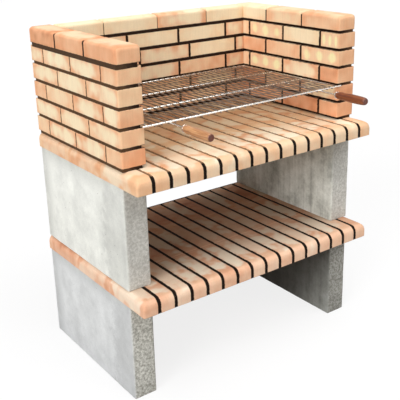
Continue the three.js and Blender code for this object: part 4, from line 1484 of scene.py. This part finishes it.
def woven_wires_tree():
    """Wires side by side, each over one cross rod and under the next, swollen where they are welded. One
    wire is made, and each second one is the same wire turned half round about its length."""
    tree = bpy.data.node_groups.new("woven_wires", "GeometryNodeTree")
    for name, kind in (
        ("Wires", "NodeSocketInt"), ("Pitch", "NodeSocketFloat"), ("First rod", "NodeSocketFloat"),
        ("Rod spacing", "NodeSocketFloat"), ("Rods", "NodeSocketInt"), ("End", "NodeSocketFloat"),
        ("Level", "NodeSocketFloat"), ("Weave height", "NodeSocketFloat"), ("Radius", "NodeSocketFloat"),
        ("Finish", "NodeSocketMaterial"),
    ):
        tree.interface.new_socket(name, in_out="INPUT", socket_type=kind)
    tree.interface.new_socket("Grid", in_out="OUTPUT", socket_type="NodeSocketGeometry")
    given = add_node(tree, "NodeGroupInput").outputs

    # One wire, with y measured from the first rod
    gaps = add_node(
        tree, "ShaderNodeMath", {"operation": "SUBTRACT"}, {0: given["Rods"], 1: 1.0}).outputs[0]
    reach = add_node(
        tree, "ShaderNodeMath", {"operation": "MULTIPLY_ADD"},
        {0: gaps, 1: given["Rod spacing"], 2: given["End"]}).outputs[0]
    before = add_node(
        tree, "ShaderNodeMath", {"operation": "MULTIPLY"}, {0: given["End"], 1: -1.0}).outputs[0]
    near = add_node(tree, "ShaderNodeCombineXYZ", inputs={1: before}).outputs[0]
    far = add_node(tree, "ShaderNodeCombineXYZ", inputs={1: reach}).outputs[0]
    straight = add_node(tree, "GeometryNodeCurvePrimitiveLine", inputs={"Start": near, "End": far}).outputs[0]
    divided = add_node(
        tree, "GeometryNodeResampleCurve", inputs={"Curve": straight, "Count": WIRE_STEPS}).outputs[0]
    position = add_node(tree, "GeometryNodeInputPosition").outputs[0]
    here = add_node(tree, "ShaderNodeSeparateXYZ", inputs={0: position}).outputs
    rods = add_node(
        tree, "ShaderNodeMath", {"operation": "DIVIDE"}, {0: here[1], 1: given["Rod spacing"]}).outputs[0]
    angle = add_node(tree, "ShaderNodeMath", {"operation": "MULTIPLY"}, {0: rods, 1: math.pi}).outputs[0]
    wave = add_node(tree, "ShaderNodeMath", {"operation": "COSINE"}, {0: angle}).outputs[0]
    lift = add_node(
        tree, "ShaderNodeMath", {"operation": "MULTIPLY"}, {0: wave, 1: given["Weave height"]}).outputs[0]
    offset = add_node(tree, "ShaderNodeCombineXYZ", inputs={2: lift}).outputs[0]
    woven = add_node(
        tree, "GeometryNodeSetPosition", inputs={"Geometry": divided, "Offset": offset}).outputs[0]
    # It swells by a fifth over the first rod and the last, where it is welded
    half = add_node(tree, "ShaderNodeMath", {"operation": "MULTIPLY"}, {0: gaps, 1: 0.5}).outputs[0]
    from_middle = add_node(tree, "ShaderNodeMath", {"operation": "SUBTRACT"}, {0: rods, 1: half}).outputs[0]
    from_end = add_node(tree, "ShaderNodeMath", {"operation": "ABSOLUTE"}, {0: from_middle}).outputs[0]
    weld = add_node(tree, "ShaderNodeMath", {"operation": "SUBTRACT"}, {0: half, 1: from_end}).outputs[0]
    swelling = add_node(
        tree, "ShaderNodeMapRange", {"interpolation_type": "SMOOTHSTEP"},
        {0: weld, 1: 0.03, 2: 0.0, 3: 1.0, 4: 1.2},
    ).outputs[0]
    radius = add_node(
        tree, "ShaderNodeMath", {"operation": "MULTIPLY"}, {0: swelling, 1: given["Radius"]}).outputs[0]
    ring = add_node(
        tree, "GeometryNodeCurvePrimitiveCircle", inputs={"Resolution": WIRE_SIDES, "Radius": 1.0}).outputs[0]
    wire = add_node(
        tree, "GeometryNodeCurveToMesh",
        inputs={"Curve": woven, "Profile Curve": ring, "Scale": radius, "Fill Caps": True},
    ).outputs[0]

    # The wires side by side
    spaces = add_node(
        tree, "ShaderNodeMath", {"operation": "SUBTRACT"}, {0: given["Wires"], 1: 1.0}).outputs[0]
    spread = add_node(
        tree, "ShaderNodeMath", {"operation": "MULTIPLY"}, {0: spaces, 1: given["Pitch"]}).outputs[0]
    left = add_node(tree, "ShaderNodeMath", {"operation": "MULTIPLY"}, {0: spread, 1: -0.5}).outputs[0]
    origin = add_node(
        tree, "ShaderNodeCombineXYZ", inputs={0: left, 1: given["First rod"], 2: given["Level"]}).outputs[0]
    step = add_node(tree, "ShaderNodeCombineXYZ", inputs={0: given["Pitch"]}).outputs[0]
    points = add_node(
        tree, "GeometryNodeMeshLine", {"mode": "OFFSET"},
        {"Count": given["Wires"], "Start Location": origin, "Offset": step},
    ).outputs[0]
    index = add_node(tree, "GeometryNodeInputIndex").outputs[0]
    odd = add_node(tree, "ShaderNodeMath", {"operation": "MODULO"}, {0: index, 1: 2.0}).outputs[0]
    half_round = add_node(tree, "ShaderNodeMath", {"operation": "MULTIPLY"}, {0: odd, 1: math.pi}).outputs[0]
    turn = add_node(tree, "ShaderNodeCombineXYZ", inputs={1: half_round}).outputs[0]
    grid = add_node(
        tree, "GeometryNodeInstanceOnPoints",
        inputs={"Points": points, "Instance": wire, "Rotation": turn}).outputs[0]
    real = add_node(tree, "GeometryNodeRealizeInstances", inputs={0: grid}).outputs[0]
    coated = add_node(
        tree, "GeometryNodeSetMaterial", inputs={"Geometry": real, "Material": given["Finish"]}).outputs[0]
    add_node(tree, "NodeGroupOutput", inputs={0: coated})
    return tree


# As many wires as fit between the side bars, with one in the middle
wire_count = 2 * math.floor((bar_place - SIDE_BAR_RADIUS - WIRE_RADIUS) / WIRE_PITCH - 0.5) + 1
grill_wires = new_piece("grill_wires", bpy.data.meshes.new("grill_wires"))
weave = grill_wires.modifiers.new("woven", "NODES")
weave.node_group = woven_wires_tree()
set_inputs(weave, {
    "Wires": wire_count, "Pitch": WIRE_PITCH, "First rod": front_rod, "Rod spacing": rod_spacing,
    "Rods": CROSS_ROD_COUNT, "End": WIRE_END, "Level": rod_level, "Weave height": WEAVE_HEIGHT,
    "Radius": WIRE_RADIUS, "Finish": SHADED_WIRES,
})
as_plain_mesh(grill_wires)
finish_piece(grill_wires, "grill", "chromed_wire")


# Handles


def handle(node):
    """A turned handle with a bead at the neck, a groove, a full belly, and the lathe's mark in its tip."""
    low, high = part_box(node)
    length = high.y - low.y
    fullness = (high.z - low.z) / 2 / HANDLE_BELLY
    profile = [(BORE_DEPTH, 0), (BORE_DEPTH, BORE_RADIUS), (0, BORE_RADIUS)]
    # A smooth curve through the points of the turning
    knots = [HANDLE_TURNING[0], *HANDLE_TURNING, HANDLE_TURNING[-1]]
    for before, one, two, after in zip(knots, knots[1:], knots[2:], knots[3:]):
        for k in range(TURNING_STEPS):
            share = k / TURNING_STEPS
            radius = 0.5 * (
                2 * one[1] + (two[1] - before[1]) * share
                + (2 * before[1] - 5 * one[1] + 4 * two[1] - after[1]) * share**2
                + (3 * one[1] - 3 * two[1] + after[1] - before[1]) * share**3
            )
            profile.append((length * (one[0] + (two[0] - one[0]) * share), fullness * radius))
    profile += [
        (length, fullness * HANDLE_TURNING[-1][1]), (length, TIP_MARK_RADIUS),
        (length - TIP_MARK_DEPTH, 0),
    ]
    centre = Vector(((low.x + high.x) / 2, high.y, (low.z + high.z) / 2))
    mesh = turned(profile, centre, (0, -1, 0), TURNED_SIDES)
    piece = joined(f"{node}_grip", [mesh], BEECH, angle=50)
    darkness = piece.data.attributes.new("tip", "FLOAT", "POINT")
    shares = [(low.y + TIP_GRAIN - vertex.co.y) / TIP_GRAIN for vertex in piece.data.vertices]
    darkness.data.foreach_set("value", [max(0, min(1, share)) for share in shares])
    finish_piece(piece, "grill", "wood", node)


for node in ("left_handle", "right_handle"):
    handle(node)


# Floor, backdrop, light and camera


def studio():
    """White paper and a white room, with soft light from a window on the left and from above."""
    scene = bpy.context.scene
    scene.view_settings.view_transform = "Standard"
    floor_mesh = bpy.data.meshes.new("floor")
    reach = 12
    corners = [(-reach, -reach, 0), (reach, -reach, 0), (reach, reach, 0), (-reach, reach, 0)]
    floor_mesh.from_pydata(corners, [], [(0, 1, 2, 3)])
    floor = new_piece("floor", floor_mesh)
    paper, tree, shader, _ = new_material("white_paper_matt")
    shader.inputs["Base Color"].default_value = linear("#b4b4b2")
    shader.inputs["Roughness"].default_value = 1
    shader.inputs["Specular IOR Level"].default_value = 0
    # The camera, mirrors and glass see the paper as white, with the object's shadow on it
    lit = add_node(tree, "ShaderNodeBsdfDiffuse", inputs={"Color": linear("#f2f2f2")}).outputs[0]
    glow = add_node(tree, "ShaderNodeEmission", inputs={"Color": (1, 1, 1, 1), "Strength": 1.0}).outputs[0]
    white = add_node(tree, "ShaderNodeMixShader", inputs={0: 0.82, 1: lit, 2: glow}).outputs[0]
    path = add_node(tree, "ShaderNodeLightPath").outputs
    seen = add_node(
        tree, "ShaderNodeMath", {"operation": "MAXIMUM"},
        {0: path["Is Camera Ray"], 1: path["Is Transmission Ray"]}).outputs[0]
    shown = add_node(
        tree, "ShaderNodeMath", {"operation": "MAXIMUM"}, {0: seen, 1: path["Is Glossy Ray"]}).outputs[0]
    both = add_node(
        tree, "ShaderNodeMixShader", inputs={0: shown, 1: shader.outputs[0], 2: white}).outputs[0]
    tree.links.new(both, tree.nodes["Material Output"].inputs["Surface"])
    floor_mesh.materials.append(paper)

    # White to the camera and to glass. Mirrors see it white at the horizon and grey overhead.
    world = bpy.data.worlds.new("white_room")
    scene.world = world
    world.use_nodes = True
    sky = world.node_tree
    path = add_node(sky, "ShaderNodeLightPath").outputs
    seen = add_node(
        sky, "ShaderNodeMath", {"operation": "MAXIMUM"},
        {0: path["Is Camera Ray"], 1: path["Is Transmission Ray"]}).outputs[0]
    towards = add_node(sky, "ShaderNodeTexCoord").outputs["Generated"]
    height = add_node(sky, "ShaderNodeSeparateXYZ", inputs={0: towards}).outputs[2]
    mirrored = add_node(
        sky, "ShaderNodeMapRange", {"interpolation_type": "SMOOTHSTEP"},
        {0: height, 1: 0.15, 2: 0.7, 3: 1.0, 4: 0.3}).outputs[0]
    ambient = add_node(
        sky, "ShaderNodeMix", inputs={0: path["Is Glossy Ray"], 2: 0.05, 3: mirrored}).outputs[0]
    strength = add_node(sky, "ShaderNodeMix", inputs={0: seen, 2: ambient, 3: 1.0}).outputs[0]
    sky.links.new(strength, sky.nodes["Background"].inputs["Strength"])
    sky.nodes["Background"].inputs["Color"].default_value = (1, 1, 1, 1)

    # Each light with the direction that it comes from, its strength and how wide it is in degrees
    for name, towards, level, angle in (
        ("window_on_the_left", (-0.85, -0.35, 0.40), 0.7, 30),
        ("ceiling_light", (-0.1, -0.15, 0.98), 0.62, 50),
        ("window_in_front", (0.35, -0.55, 0.75), 0.33, 40),
        ("fill_from_behind", (0.85, 0.5, 0.35), 0.16, 60),
    ):
        light = bpy.data.lights.new(name, "SUN")
        light.energy = level * math.pi
        light.angle = math.radians(angle)
        lamp = bpy.data.objects.new(name, light)
        lamp.rotation_euler = Vector(towards).to_track_quat("Z", "Y").to_euler()
        scene.collection.objects.link(lamp)


def camera():
    """The photograph's viewpoint: the angles and the place of the camera, its focal length and its shift,
    solved together from the joints and edges of shelves, walls and slabs."""
    yaw, pitch, roll = math.radians(35.599), math.radians(-18.657), math.radians(-1.549)
    place = (-1.44410, -1.91695, 1.45428)
    view = bpy.data.cameras.new("photograph")
    view.sensor_width = 36
    view.lens = 66.188
    view.shift_y = -0.0865
    view.clip_end = 50
    forward = Vector((math.sin(yaw) * math.cos(pitch), math.cos(yaw) * math.cos(pitch), math.sin(pitch)))
    right = Vector((math.cos(yaw), -math.sin(yaw), 0))
    up = right.cross(forward)
    rolled_right = right * math.cos(roll) + up * math.sin(roll)
    rolled_up = up * math.cos(roll) - right * math.sin(roll)
    turn = Matrix((rolled_right, rolled_up, -forward)).transposed().to_4x4()
    eye = bpy.data.objects.new("photograph", view)
    eye.matrix_world = Matrix.Translation(place) @ turn
    bpy.context.scene.collection.objects.link(eye)
    bpy.context.scene.camera = eye


studio()
camera()
